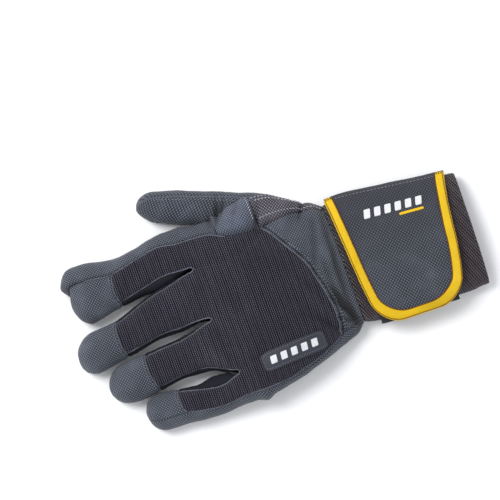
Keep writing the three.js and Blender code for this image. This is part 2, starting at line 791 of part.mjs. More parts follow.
/** A point on the flap. */
function flapPoint(out, y, raise) {
  const cuff = cuffSection(clamp((ySeam - y) / cuffLength, 0, 1));
  const lift = raise + (hookWall + seamGap) * smoothstep(out, flapLiftFrom, flapLiftTo);
  const grown = section(cuff.left - lift, cuff.right + lift, cuff.top + lift);
  const bend = grown.over(grown.middle - flapBendShare * grown.reach);
  if (out <= flapBendAt) {
    const { x, z } = grown.at(lerp(0, bend, out / flapBendAt));
    return new THREE.Vector3(x, y, z);
  }
  const past = (out - flapBendAt) / (1 - flapBendAt);
  const from = grown.at(bend);
  return new THREE.Vector3(lerp(from.x, cuff.left - flapOverhang, past), y, from.z - flapDroop * past ** 1.5);
}

/** Where the flap's two long sides lie at a share of the way round: near the hand, and far from it. */
function flapSides(out) {
  const turn = clamp((out - flapRoundAt) / (1 - flapRoundAt), 0, 1);
  const straight = flapWidth * (1 - flapTaper * (0.6 * out + 0.4 * out ** 3));
  const round = 1 - Math.sqrt(Math.max(1 - turn ** 2, 0));
  const width = lerp(straight, flapEndShare * flapWidth, round);
  const centre = ySeam - seamGap - flapMargin / 4 - flapWidth / 2 + flapSkew * flapWidth * out;
  return { near: centre + width / 2, far: centre - width / 2 };
}

const flapSteps = [0, 0.08, 0.17, 0.27, 0.38, 0.5, 0.62, 0.72, 0.8, 0.87, 0.92, 0.96, 0.985, 1]; // closer at its corners

/** The flap's outline moved inwards, as matched places on its near and far sides, from `first` to the free end. */
function flapOutline(first, inset) {
  return flapSteps.map((share) => {
    const out = lerp(first, 1, share);
    const { near, far } = flapSides(out);
    return { out: out * (1 - inset / flapSpan), near: near - inset, far: far + inset };
  });
}

/** A sheet between two matched grids of points: closed by walls along its rim. */
function slab(bottom, top) {
  const block = new Skin();
  const rows = top.length;
  const last = top[0].length - 1;
  for (let k = 0; k + 1 < rows; k += 1) {
    block.join(top[k], top[k + 1], () => 'slab', false);
    block.join(bottom[k + 1], bottom[k], () => 'slab', false);
    block.face('slab', bottom[k][0], bottom[k + 1][0], top[k + 1][0], top[k][0]);
    block.face('slab', bottom[k + 1][last], bottom[k][last], top[k][last], top[k + 1][last]);
  }
  for (let i = 0; i < last; i += 1) {
    block.face('slab', bottom[0][i + 1], bottom[0][i], top[0][i], top[0][i + 1]);
    block.face('slab', bottom.at(-1)[i], bottom.at(-1)[i + 1], top.at(-1)[i + 1], top.at(-1)[i]);
  }
  return solid(block.points, block.faces.map((face) => face.tri));
}

const foldInset = bindingFold + seamGap; // the flap's edge lies this far inside the binding's outer edge
const flapRaise = bindingFold + 2 * seamGap; // the flap rides on the binding's lower layer
const bindingStart = 0.07; // the binding ends just before the sewn edge

/** The flap's cloth. */
function flapSolid() {
  const across = 8;
  const grid = (raise) =>
    flapOutline(0, foldInset).map(({ out, near, far }) =>
      Array.from({ length: across + 1 }, (_, i) => flapPoint(out, lerp(near, far, i / across), raise)),
    );
  return slab(grid(flapRaise), grid(flapRaise + flapWall));
}

/** The binding: a U-shaped profile swept along the flap's free edge. */
function bindingSolid() {
  const edge = (inset) => {
    const places = flapOutline(bindingStart, inset);
    const near = places.map(({ out, near: y }) => ({ out, y }));
    const far = places.map(({ out, far: y }) => ({ out, y }));
    return [...near, ...far.reverse()];
  };
  const outer = edge(0);
  const inner = edge(bindingWidth);
  const slot = edge(foldInset - seamGap);
  const floor = seamGap;
  const lowTop = floor + bindingFold;
  const highBottom = flapRaise + flapWall + seamGap;
  const ceiling = highBottom + bindingFold;
  const at = ({ out, y }, raise) => flapPoint(out, y, raise);
  const rings = outer.map((_, k) => [
    at(outer[k], floor),
    at(outer[k], ceiling),
    at(inner[k], ceiling),
    at(inner[k], highBottom),
    at(slot[k], highBottom),
    at(slot[k], lowTop),
    at(inner[k], lowTop),
    at(inner[k], floor),
  ]);
  const block = new Skin();
  rings.slice(0, -1).forEach((ring, k) => block.join(ring, rings[k + 1], () => 'binding'));
  const spineAndLayers = [
    [0, 1, 4, 5],
    [1, 2, 3, 4],
    [0, 5, 6, 7],
  ];
  spineAndLayers.forEach((quad) => {
    block.face('binding', ...quad.map((k) => rings[0][k]));
    block.face('binding', ...quad.map((k) => rings.at(-1)[k]).reverse());
  });
  return solid(block.points, block.faces.map((face) => face.tri));
}

// The hook tape under the flap's free end, a plain rectangle whose corners show past the round ones of the flap
const hookStart = 0.74; // where it starts, from the sewn edge to the free end
const hookWidth = flapWidth * (1 - flapTaper) + 2 * hookPeek;

/** The hook tape's cloth, between the cuff and the binding. */
function hookSolid() {
  const centre = ySeam - flapMargin / 4 - flapWidth / 2 + flapSkew * flapWidth;
  const grid = (raise) =>
    Array.from({ length: 5 }, (_, k) =>
      Array.from({ length: 9 }, (_unused, i) =>
        flapPoint(lerp(hookStart, 1, k / 4), centre + hookWidth * (0.5 - i / 8), raise),
      ),
    );
  return slab(grid(-hookWall), grid(0));
}

// The label on the back panel, near the little finger's side
const labelX = -0.285 * palmWidth;
const labelY = ySeam + 0.54 * palmLength;
const labelTurn = THREE.MathUtils.degToRad(3);
const labelGap = 2 * seamGap;

/** The height of the back of the hand, with the valleys between the knuckles. */
function handTop(x, y) {
  const along = (y - ySeam) / palmLength;
  const hand = handSection(along);
  let k = 0;
  while (k < fingerCount - 1 && x < stripLine(k + 1, along)) k += 1;
  const across = (stripLine(k, along) - x) / (stripLine(k, along) - stripLine(k + 1, along));
  return hand.at(hand.over(x)).z - dip(clamp(across, 0, 1), along) - foldDepth(x, along);
}

/** The label's cloth, just above the back panel. */
function labelSolid() {
  const grid = (raise) =>
    Array.from({ length: 9 }, (_, k) =>
      Array.from({ length: 4 }, (_unused, i) => {
        const place = new THREE.Vector2(labelWidth * (0.5 - i / 3), labelLength * (k / 8 - 0.5));
        place.rotateAround(new THREE.Vector2(), labelTurn).add(new THREE.Vector2(labelX, labelY));
        return new THREE.Vector3(place.x, place.y, handTop(place.x, place.y) + raise);
      }),
    );
  return slab(grid(labelGap), grid(labelGap + labelWall));
}

const knit = new THREE.MeshStandardMaterial({ color: 0x2b2830, roughness: 0.95, metalness: 0 });
const leather = new THREE.MeshStandardMaterial({ color: 0x4b5157, roughness: 0.7, metalness: 0 });
const darkCloth = new THREE.MeshStandardMaterial({ color: 0x232228, roughness: 0.9, metalness: 0 });
const elastic = new THREE.MeshStandardMaterial({ color: 0x26242b, roughness: 0.95, metalness: 0 });
const yellow = new THREE.MeshStandardMaterial({ color: 0xf0b418, roughness: 0.7, metalness: 0 });
const tape = new THREE.MeshStandardMaterial({ color: 0x17171a, roughness: 0.9, metalness: 0 });

const glove = new THREE.Group();

/** Adds one named piece. */
function add(name, geometry, material) {
  const mesh = new THREE.Mesh(geometry, material);
  mesh.name = name;
  glove.add(mesh);
}

add('back_panel', cut(skin.piece('back_panel', knitWall), thumbBlock), knit);
add('palm_panel', cut(skin.piece('palm_panel', palmWall), thumbBlock), leather);
add('wrist_band', cut(skin.piece('wrist_band', leatherWall), thumbBlock), leather);
add('wrist_gusset', cut(skin.piece('wrist_gusset', sideWall), thumbBlock), elastic);
add('thumb_gusset', cut(skin.piece('thumb_gusset', leatherWall), thumbBlock), leather);
fingers.forEach(({ name }) => add(`cap_${name}`, skin.piece(`cap_${name}`, leatherWall), leather));
fingers.slice(0, -1).forEach(({ name }, f) => {
  const between = `fourchette_${name}_${fingers[f + 1].name}`;
  add(between, skin.piece(between, sideWall), darkCloth);
});
add('thumb_back', cut(thumbSkin.piece('thumb_back', leatherWall), handBlock), leather);
add('thumb_front', cut(thumbSkin.piece('thumb_front', palmWall), handBlock), leather);
add('cuff', cuffSkin.piece('cuff', cuffWall), elastic);
add('flap', flapSolid(), leather);
add('flap_binding', bindingSolid(), yellow);
add('hook_tape', hookSolid(), tape);
add('label_patch', labelSolid(), darkCloth);

// Centred over the floor
const box = new THREE.Box3().setFromObject(glove);
glove.position.set(-(box.min.x + box.max.x) / 2, -(box.min.y + box.max.y) / 2, -box.min.z);
glove.updateMatrixWorld(true);

export default glove;
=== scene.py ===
"""A padded work glove for the left hand, lying palm down on the floor of a small photo studio."""

import bpy
import numpy as np
from mathutils import Matrix, Vector


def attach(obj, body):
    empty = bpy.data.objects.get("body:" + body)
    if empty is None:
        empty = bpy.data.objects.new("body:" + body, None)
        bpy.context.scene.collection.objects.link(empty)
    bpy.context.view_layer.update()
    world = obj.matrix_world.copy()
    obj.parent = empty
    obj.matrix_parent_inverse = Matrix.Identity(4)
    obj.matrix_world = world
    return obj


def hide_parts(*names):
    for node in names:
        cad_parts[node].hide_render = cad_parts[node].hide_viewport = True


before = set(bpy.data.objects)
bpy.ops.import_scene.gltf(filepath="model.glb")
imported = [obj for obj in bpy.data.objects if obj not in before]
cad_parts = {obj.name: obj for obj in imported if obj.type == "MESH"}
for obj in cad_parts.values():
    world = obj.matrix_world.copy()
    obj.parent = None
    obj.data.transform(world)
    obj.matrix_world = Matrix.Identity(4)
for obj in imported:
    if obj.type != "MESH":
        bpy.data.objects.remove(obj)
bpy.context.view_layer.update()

# Studio: a pale seamless floor, one large soft light from the fingers' side, a weaker one from the
# cuff's, and a long lens that looks almost straight down.

FLOOR_SIZE = 8.0
IMAGE_TURN = np.radians(20.0)  # how far the fingers point below the picture's left edge
CAMERA_RISE = np.radians(83.0)
CAMERA_DISTANCE = 1.6
CAMERA_LENS = 170.0
CAMERA_REACH = 50.0
AIM = np.array([0.0185, 0.006, 0.012])
WORLD_STRENGTH = 0.64

right_way = np.array([-np.sin(IMAGE_TURN), -np.cos(IMAGE_TURN), 0.0])
up_way = np.array([np.cos(IMAGE_TURN), -np.sin(IMAGE_TURN), 0.0])
sky = np.array([0.0, 0.0, 1.0])
back_way = sky * np.sin(CAMERA_RISE) - up_way * np.cos(CAMERA_RISE)
rise_way = np.cross(back_way, right_way)

camera = bpy.data.objects.new("camera", bpy.data.cameras.new("camera"))
bpy.context.scene.collection.objects.link(camera)
bpy.context.scene.camera = camera
camera.data.lens = CAMERA_LENS
camera.data.clip_end = CAMERA_REACH
bpy.context.scene.view_settings.view_transform = "Standard"
camera_turn = Matrix(np.column_stack([right_way, rise_way, back_way]).tolist())
camera.matrix_world = Matrix.Translation(AIM + back_way * CAMERA_DISTANCE) @ camera_turn.to_4x4()


def network(tree):
    """A short function for one node tree: it adds a node, sets it, and links what is a socket."""

    def new(kind, inputs=None, **settings):
        node = tree.nodes.new("ShaderNode" + kind)
        for key, value in settings.items():
            setattr(node, key, value)
        for key, value in (inputs or {}).items():
            if isinstance(value, bpy.types.NodeSocket):
                tree.links.new(value, node.inputs[key])
            else:
                node.inputs[key].default_value = value
        return node

    return new


def material(name, **constants):
    """A material with one Principled shader; returns it, its shader and its node maker."""
    made = bpy.data.materials.new(name)
    made.use_nodes = True
    shader = made.node_tree.nodes["Principled BSDF"]
    for key, value in constants.items():
        shader.inputs[key.replace("_", " ")].default_value = value
    return made, shader, network(made.node_tree)


def linear(red, green, blue):
    """A screen colour from 0 to 255 as a linear one with full alpha: straight at first, then a power."""
    share = np.array([red, green, blue]) / 255.0
    low = share / 12.92
    high = ((share + 0.055) / 1.055) ** 2.4
    return (*np.where(share <= 0.04045, low, high), 1.0)


half_floor = FLOOR_SIZE / 2
floor_mesh = bpy.data.meshes.new("floor")
floor_mesh.from_pydata(
    [(x * half_floor, y * half_floor, 0.0) for x, y in ((-1, -1), (1, -1), (1, 1), (-1, 1))],
    [],
    [(0, 1, 2, 3)],
)
floor = bpy.data.objects.new("floor", floor_mesh)
bpy.context.scene.collection.objects.link(floor)
floor_mesh.materials.append(
    material("floor_paint", Base_Color=linear(250, 250, 251), Roughness=0.9)[0]
)

world = bpy.data.worlds.new("studio")
bpy.context.scene.world = world
world.use_nodes = True
world.node_tree.nodes["Background"].inputs["Color"].default_value = (0.95, 0.97, 1.0, 1.0)
world.node_tree.nodes["Background"].inputs["Strength"].default_value = WORLD_STRENGTH


def soft_light(name, place, size, watts):
    """A square area light that faces the glove."""
    data = bpy.data.lights.new(name, "AREA")
    data.size = size
    data.energy = watts
    lamp = bpy.data.objects.new(name, data)
    bpy.context.scene.collection.objects.link(lamp)
    lamp.location = place
    lamp.rotation_euler = (-Vector(place)).to_track_quat("-Z", "Y").to_euler()


soft_light("key_light", (0.75, 0.75, 1.3), 0.85, 24.0)
soft_light("fill_light", (-0.9, -0.6, 1.3), 1.1, 4.0)

# Palm panel: one cut of padded, dot-embossed leather under the palm and the fingers. It folds up round
# the little finger's and the index finger's outer sides, and is sewn to the back along thin seams.
# The tables are the shape of the whole hand, and every panel of it is a part of the same surface.

PALM_LENGTH = 97.0
PALM_WIDTH = 130.0
HAND_HEIGHT = 33.0
FINGER_HEIGHT = 18.0
PALM_WALL = 2.6
HAND_ORIGIN = np.array([-18.12, -50.34, 0.0])  # where the wrist seam's middle lies in the frame
LEVEL_SHARE = 0.42  # the height of a section's widest line
PRESSED_SHARE = 0.12  # how far a section would reach below the floor that flattens it
SQUARENESS = 2.35
PALM_SEAM_SHARE = 0.82
KNUCKLE_DIP = 2.2
KNUCKLES_FROM = 0.55
SLIT_WIDTH = 3.0
SLIT_END = 0.9 * SLIT_WIDTH  # how long the round end of a slit is
ROOT_SHARE = 0.24  # the share of a finger over which it leaves the hand's shape
TIP_POWER = 2.2
TIP_LEVEL = 0.36
CAP_BOW = 2.2
LOBE_REACH = 4.4  # how far the index finger's outer lobe stands past the other
LOBE_CLEFT = 1.6
LOBE_DIP = 1.3
LOBE_SEAM = 2.4
TURN = 2 * np.pi


def table(names, rows):
    """A table of numbers as a dictionary of named columns."""
    return dict(zip(names.split(), np.array(rows, float).T))


# Each row lies at a share of the palm's length. It holds the sides and the seams as shares of its width,
# from the hand's middle line, and the top as a share of the hand's height.
HAND_ROWS = table(
    "along left right top little_seam thumb_seam",
    [
        [0.0, -0.277, 0.377, 0.6, -0.246, 0.345],
        [0.06, -0.322, 0.397, 0.64, -0.272, 0.36],
        [0.14, -0.346, 0.431, 0.7, -0.3, 0.375],
        [0.26, -0.372, 0.492, 0.82, -0.34, 0.38],
        [0.36, -0.395, 0.535, 0.91, -0.368, 0.37],
        [0.49, -0.427, 0.546, 0.98, -0.4, 0.36],
        [0.61, -0.446, 0.531, 1.0, -0.424, 0.36],
        [0.72, -0.462, 0.508, 0.99, -0.43, 0.38],
        [0.84, -0.465, 0.5, 0.92, -0.428, 0.425],
        [1.0, -0.469, 0.523, 0.76, -0.43, 0.435],
    ],
)

# The lines between the fingers' strips, from the thumb's side, as shares of the palm's width at both its
# ends, and the share of its length at which the slit there begins.
STRIP_ROWS = table(
    "wrist knuckle rise",
    [
        [0.345, 0.435, 1.0],
        [0.2, 0.281, 1.0],
        [0.04, 0.003, 1.0],
        [-0.11, -0.312, 0.94],
        [-0.246, -0.43, 0.92],
    ],
)

# Lengths and widths are in millimetres. Root and lean place a finger's axis in shares of the palm's width,
# the cap starts at a share of the length, the tip is a share of the width, and rows are like the hand's.
FINGER_COLUMNS = "along left right left_seam right_seam top"
FINGERS = [
    {
        "name": "index",
        "length": 86.0,
        "width": 32.0,
        "root": 0.4,
        "lean": -0.042,
        "cap": 0.62,
        "tip": 0.36,
        "rows": table(
            FINGER_COLUMNS,
            [
                [0.0, -0.48, 0.52, -0.42, 0.15, 1.3],
                [0.23, -0.52, 0.51, -0.36, 0.26, 1.12],
                [0.37, -0.54, 0.46, -0.4, 0.22, 1.0],
                [0.52, -0.55, 0.43, -0.46, 0.15, 1.02],
                [0.65, -0.58, 0.49, -0.52, 0.12, 0.95],
                [0.8, -0.65, 0.61, -0.58, 0.2, 0.95],
                [1.0, -0.66, 0.62, -0.58, 0.3, 0.9],
            ],
        ),
    },
    {
        "name": "middle",
        "length": 93.5,
        "width": 31.0,
        "root": 0.15,
        "lean": -0.11,
        "cap": 0.655,
        "tip": 0.5,
        "rows": table(
            FINGER_COLUMNS,
            [
                [0.0, -0.52, 0.5, -0.47, 0.45, 1.3],
                [0.2, -0.5, 0.56, -0.45, 0.5, 1.15],
                [0.35, -0.43, 0.54, -0.38, 0.48, 1.02],
                [0.45, -0.42, 0.49, -0.37, 0.43, 1.06],
                [0.6, -0.44, 0.42, -0.38, 0.36, 0.98],
                [0.75, -0.45, 0.42, -0.39, 0.36, 0.97],
                [1.0, -0.49, 0.46, -0.42, 0.39, 0.9],
            ],
        ),
    },
    {
        "name": "ring",
        "length": 83.0,
        "width": 29.0,
        "root": -0.131,
        "lean": -0.027,
        "cap": 0.63,
        "tip": 0.52,
        "rows": table(
            FINGER_COLUMNS,
            [
                [0.0, -0.47, 0.53, -0.42, 0.47, 1.25],
                [0.2, -0.44, 0.52, -0.39, 0.46, 1.1],
                [0.33, -0.4, 0.5, -0.35, 0.44, 0.98],
                [0.46, -0.39, 0.5, -0.34, 0.43, 1.02],
                [0.6, -0.43, 0.49, -0.37, 0.42, 0.95],
                [0.75, -0.48, 0.49, -0.41, 0.42, 0.94],
                [1.0, -0.48, 0.48, -0.41, 0.41, 0.88],
            ],
        ),
    },
    {
        "name": "little",
        "length": 69.5,
        "width": 24.0,
        "root": -0.385,
        "lean": 0.027,
        "cap": 0.63,
        "tip": 0.5,
        "rows": table(
            FINGER_COLUMNS,
            [
                [0.0, -0.44, 0.46, -0.26, 0.2, 1.15],
                [0.2, -0.5, 0.42, -0.32, 0.24, 1.05],
                [0.35, -0.52, 0.44, -0.32, 0.28, 0.95],
                [0.5, -0.52, 0.49, -0.27, 0.37, 0.97],
                [0.65, -0.48, 0.53, -0.2, 0.46, 0.9],
                [0.8, -0.5, 0.56, -0.2, 0.49, 0.88],
                [1.0, -0.49, 0.54, -0.2, 0.47, 0.84],
            ],
        ),
    },
]


def read(rows, column, at):
    """A column of a table at any place: a cubic between two rows whose slopes come from their neighbours."""
    place, value = rows["along"], rows[column]
    last = len(place) - 1
    k = np.clip(np.searchsorted(place, at) - 1, 0, last - 1)
    before, after = np.maximum(k - 1, 0), np.minimum(k + 2, last)
    span = place[k + 1] - place[k]
    t = np.clip((at - place[k]) / span, 0.0, 1.0)
    slope_in = (value[k + 1] - value[before]) / (place[k + 1] - place[before]) * span
    slope_out = (value[after] - value[k]) / (place[after] - place[k]) * span
    return (
        value[k] * (2 * t**3 - 3 * t**2 + 1)
        + slope_in * (t**3 - 2 * t**2 + t)
        + value[k + 1] * (3 * t**2 - 2 * t**3)
        + slope_out * (t**3 - t**2)
    )


def lerp(start, end, share):
    """A straight mix of two values."""
    return start + (end - start) * share


def smooth(value, low, high):
    """0 below low, 1 above high, and between them three squares less two cubes of the share."""
    t = np.clip((value - low) / (high - low), 0.0, 1.0)
    return t * t * (3 - 2 * t)


def power(value, exponent):
    """A power that keeps the value's sign."""
    return np.sign(value) * np.abs(value) ** exponent


def oval(left, right, top, angle):
    """x and z of a squarish oval: cosine and sine to the power 2 / squareness, cut off flat at the floor."""
    level = LEVEL_SHARE * top
    rise = np.where(np.sin(angle) > 0, top - level, level + PRESSED_SHARE * top)
    x = (left + right) / 2 + (right - left) / 2 * power(np.cos(angle), 2 / SQUARENESS)
    return x, np.maximum(level + rise * power(np.sin(angle), 2 / SQUARENESS), 0.0)


def over(left, right, x):
    """The oval's angle above a given x: the arc cosine of the share across to the power squareness / 2."""
    share = np.clip((x - (left + right) / 2) / np.maximum((right - left) / 2, 1e-6), -1, 1)
    return np.arccos(power(share, SQUARENESS / 2))


def at_column(stops, column):
    """The angle at a column: four columns lie between each two stops."""
    k = np.clip(np.floor(column / 4).astype(int), 0, len(stops) - 2)
    stops = np.stack([np.broadcast_to(stop, column.shape) for stop in stops])
    low = np.take_along_axis(stops, k[None], 0)[0]
    high = np.take_along_axis(stops, k[None] + 1, 0)[0]
    return lerp(low, high, column / 4 - k)


def hand_surface(column, along):
    """The hand at a column, 0 to 16 over the back, 20 to 36 under the palm, and a share of its length.

    It is the oval of the table's row, lowered by the valleys between the knuckles.
    """
    column, along = np.broadcast_arrays(np.asarray(column, float), np.asarray(along, float))
    left, right, thumb_seam, little_seam = (
        PALM_WIDTH * read(HAND_ROWS, side, along) for side in ("left", "right", "thumb_seam", "little_seam")
    )
    top = HAND_HEIGHT * read(HAND_ROWS, "top", along)
    lines = [
        PALM_WIDTH * lerp(STRIP_ROWS["wrist"][k], STRIP_ROWS["knuckle"][k], along) for k in (1, 2, 3)
    ]
    middle, edge = (left + right) / 2, PALM_SEAM_SHARE * ((right - left) / 2)
    back = [over(left, right, x) for x in (thumb_seam, *lines, little_seam)]
    palm = [TURN - over(left, right, x) for x in (middle - edge, *lines[::-1], middle + edge)]
    x, z = oval(left, right, top, at_column([*back, *palm, TURN + back[0]], column))
    across = np.mod(column, 4) / 4
    between = (column > 2) & (column < 14)
    valley = np.where(between, np.abs(2 * across - 1) ** 3, 0.0) * smooth(along, KNUCKLES_FROM, 1.0)
    return np.stack([x, along * PALM_LENGTH, z - KNUCKLE_DIP * valley], -1)


def to_little_side(column):
    """How far a finger's column lies from its thumb side (0) to its little finger's side (1)."""
    return np.interp(column, [0, 4, 8, 12, 16], [0, 1, 1, 0, 0])


def finger_root(f, column):
    """The line of the hand that finger f grows out of, at the finger's own columns.

    Above and below it is the hand's end. Beside a slit it runs straight down, and at the outer sides of
    the index and the little finger it follows the hand's side.
    """
    rise = lerp(STRIP_ROWS["rise"][f], STRIP_ROWS["rise"][f + 1], to_little_side(column))
    left_column, right_column = np.clip(column, 4, 8), np.clip(column, 12, 16)
    back = hand_surface(4 * f + np.clip(column, 0, 4), rise)
    front = hand_surface(24 - 4 * f + np.clip(column, 8, 12), rise)
    if f == 3:
        left = hand_surface(12 + left_column, rise)
    else:
        down = (left_column[..., None] - 4) / 4
        left = lerp(hand_surface(4 * f + 4, rise), hand_surface(32 - 4 * f, rise), down)
    if f == 0:
        right = hand_surface(24 + right_column, rise)
    else:
        up = (right_column[..., None] - 12) / 4
        right = lerp(hand_surface(36 - 4 * f, rise), hand_surface(4 * f, rise), up)
    c = column[..., None]
    return np.where(c <= 4, back, np.where(c < 8, left, np.where(c <= 12, front, right)))


def closing(along, tip_start):
    """How wide a tube still is: the root of one less a power of the share of its tip."""
    into = np.clip((along - tip_start) / (1 - tip_start), 0, 1)
    return np.sqrt(np.maximum(1 - into**TIP_POWER, 0))


def tube_section(sides, top, column, shrink):
    """x and z of a finger's or the thumb's oval at a column, whose stops are its four seam lines.

    Where the tube shrinks to its tip, the height closes towards a level near the middle.
    """
    left, right = sides["left"], sides["right"]
    edge = PALM_SEAM_SHARE * (right - left) / 2
    centre = (left + right) / 2
    first = over(left, right, sides["right_seam"])
    stops = [
        first,
        over(left, right, sides["left_seam"]),
        TURN - over(left, right, centre - edge),
        TURN - over(left, right, centre + edge),
        TURN + first,
    ]
    x, z = oval(left, right, top, at_column(stops, column))
    return x, lerp(TIP_LEVEL * top, z, shrink**0.7)


def finger_surface(f, column, along):
    """Finger f at a column, 0 to 4 over its back, 8 to 12 under it, and a share of its length.

    It starts as its strip of the hand, opens the slits beside it in a round curve, turns into a flattened
    tube over a quarter of its length, and closes in a round tip. The index finger's has two lobes.
    """
    column, along = np.broadcast_arrays(np.asarray(column, float), np.asarray(along, float))
    finger, rise = FINGERS[f], STRIP_ROWS["rise"]
    width, length, rows = finger["width"], finger["length"], finger["rows"]
    root = finger_root(f, column)
    past = np.clip(along * length / SLIT_END, 0, 1)
    opened = SLIT_WIDTH / 2 * np.sqrt(np.maximum(1 - (1 - past) ** 2, 0))
    root_x = root[..., 0] + opened * lerp(0 if f == 0 else -1, 0 if f == 3 else 1, to_little_side(column))

    shrink = closing(along, 1 - finger["tip"] * width / length)
    axis = PALM_WIDTH * (finger["root"] + finger["lean"] * along)
    sides = {name: width * read(rows, name, along) for name in ("left", "right", "left_seam", "right_seam")}
    middle = (sides["left"] + sides["right"]) / 2
    sides = {name: axis + middle + (value - middle) * shrink for name, value in sides.items()}
    x, z = tube_section(sides, FINGER_HEIGHT * read(rows, "top", along), column, shrink)
    bow = np.where(column < 4, CAP_BOW * (1 - (column / 2 - 1) ** 2) * np.sin(np.pi * along), 0)
    y = lerp(root[..., 1], (rise[f] + rise[f + 1]) / 2 * PALM_LENGTH + length, along) + bow
    if f == 0:
        near_seam = np.exp(-(((x - sides["right_seam"]) / LOBE_SEAM) ** 2))
        lobe = LOBE_REACH * smooth(x - axis - middle, 2, 10) - LOBE_CLEFT * near_seam
        y = y + smooth(along, 0.76, 0.96) * lobe
        z = z - LOBE_DIP * near_seam * smooth(along, 0.78, 0.95) * (column < 4.5)  # not under the finger
    free = smooth(along, 0, ROOT_SHARE)
    return np.stack([lerp(root_x, x, free), y, lerp(root[..., 2], z, free)], -1)


def ripple(x, y, size, seed):
    """Soft noise from about -1 to 1: seven sine waves of about the same length in different directions."""
    draw = np.random.default_rng(seed)
    waves = [draw.uniform(low, high, 7) for low, high in ((0, np.pi), (0, TURN), (0.7, 1.5))]
    total = 0.0
    for way, phase, stretch in zip(*waves):
        total = total + np.sin(TURN * (x * np.cos(way) + y * np.sin(way)) / (size * stretch) + phase)
    return total / 3.2


# Folds of the cloth: where each one's middle lies, the degrees its line is turned, how far it reaches along
# the line and across it, and how deep it is. A fold of negative depth stands out.
FOLDS = table(
    "x y turn reach width depth",
    [
        [-39.0, 16.5, 70, 11.7, 5.9, 3.0],
        [39.0, 29.0, -50, 13.0, 6.5, 1.6],
        [15.6, 75.7, 8, 20.8, 5.9, 1.1],
        [-33.8, 71.8, -12, 15.6, 5.2, 1.1],
        [-30.0, 24.0, 52, 18.0, 2.2, 0.8],
        [-22.0, 30.0, 38, 20.0, 2.0, 0.55],
        [-8.0, 26.0, 28, 22.0, 2.4, 0.5],
        [44.0, 46.0, -62, 12.0, 2.0, 0.7],
        [34.0, 92.0, 12, 9.0, 2.2, 0.5],
        [2.0, 104.0, -8, 8.0, 2.2, 0.5],
        [-52.0, 52.0, 80, 14.0, 2.4, 0.6],
        [8.0, 4.5, -3, 32.0, 2.4, 2.2],
        [-20.0, 9.5, 20, 15.0, 1.9, 2.4],
        [-29.0, 4.5, 8, 9.0, 1.6, 2.6],
        [24.0, 14.0, -18, 20.0, 2.6, 1.6],
        [2.0, 12.0, 4, 12.0, 1.8, 0.9],
        [-24.5, 9.0, 35, 13.0, 1.8, 3.0],
        [-31.0, 11.0, 62, 8.0, 1.5, 1.8],
        [-15.6, 10.5, 14, 11.0, 2.0, 1.6],
        [66.5, 69.5, -20, 10.0, 1.8, 2.8],
        [63.5, 76.0, -12, 8.0, 1.5, 1.1],
        [70.0, 64.0, -28, 8.0, 1.4, 1.4],
        [57.5, 61.5, 88, 11.0, 5.0, -1.7],
        [53.0, 46.0, -25, 8.0, 1.8, 2.2],
        [47.0, 7.0, 0, 5.5, 4.0, -1.7],
        [50.5, 14.5, -30, 7.0, 1.4, 2.0],
        [-60.5, 79.0, 90, 4.5, 5.0, -2.8],
        [62.0, 58.0, -30, 10.0, 1.7, 0.9],
        [66.0, 66.0, -24, 8.0, 1.5, 0.6],
        [56.0, 49.0, -38, 10.0, 2.2, 0.8],
        [-45.0, 26.0, 75, 9.0, 2.6, 0.9],
    ],
)
FULL_FOLD = 2.2  # the depth of a fold, and the width of a narrow one, whose painted crease shade shows in full
FAR_FROM_SEAM = 60.0
ROLL_WIDTH = 1.9
# the next share sets how much a seam's roll and its stitch grooves darken the colour, as painted shade
ROLL_SHADE = 0.45
RIB_WIDTH = 0.55
PUFF_EDGE = 7.0
LOWEST = 0.04


def folds_at(points, sharp=False):
    """How deep the table's folds press the cloth in: each a dent that fades with the square of the distance.

    Sharp counts wide folds for less, by the cube of their width, for the painted shade in creases. The
    underside has none.
    """
    x, y, z = np.moveaxis(points, -1, 0)
    folds = 0.0
    for px, py, turned, reach, width, depth in zip(*FOLDS.values()):
        way = np.radians(turned)
        run = (x - px) * np.cos(way) + (y - py) * np.sin(way)
        off = (y - py) * np.cos(way) - (x - px) * np.sin(way)
        share = min(1.0, FULL_FOLD / width) ** 3 if sharp else 1.0
        folds = folds + share * depth * np.exp(-((run / reach) ** 2) - (off / width) ** 2)
    return folds * smooth(z, 4, 12)


def relief(points, edge, calm=1.0):
    """How far the cloth stands out: swells of three sizes, less the folds, and puckers near its seams."""
    x, y, z = np.moveaxis(points, -1, 0)
    swell = 0.32 * ripple(x, y + z, 34, 1) + 0.16 * ripple(x + z, y, 13, 2) + 0.05 * ripple(x, y + z, 5.5, 3)
    pucker = 0.24 * np.exp(-edge / 2.6) * ripple(x + 0.6 * z, y, 3.4, 4)
    return calm * swell - folds_at(points) + pucker


def lengths(points, axis):
    """The length along every row or column of a grid of points, from its start."""
    steps = np.linalg.norm(np.diff(points, axis=axis), axis=-1)
    start = np.zeros_like(np.take(steps, [0], axis))
    return np.cumsum(np.concatenate([start, steps], axis), axis)


def normals(points):
    """The outward direction over a grid: the cross product of its columns' and its rows' directions."""
    across = np.cross(np.gradient(points, axis=0), np.gradient(points, axis=1))
    size = np.linalg.norm(across, axis=-1, keepdims=True)
    return np.where(size > 1e-9, across / np.maximum(size, 1e-9), [0.0, 1.0, 0.0])


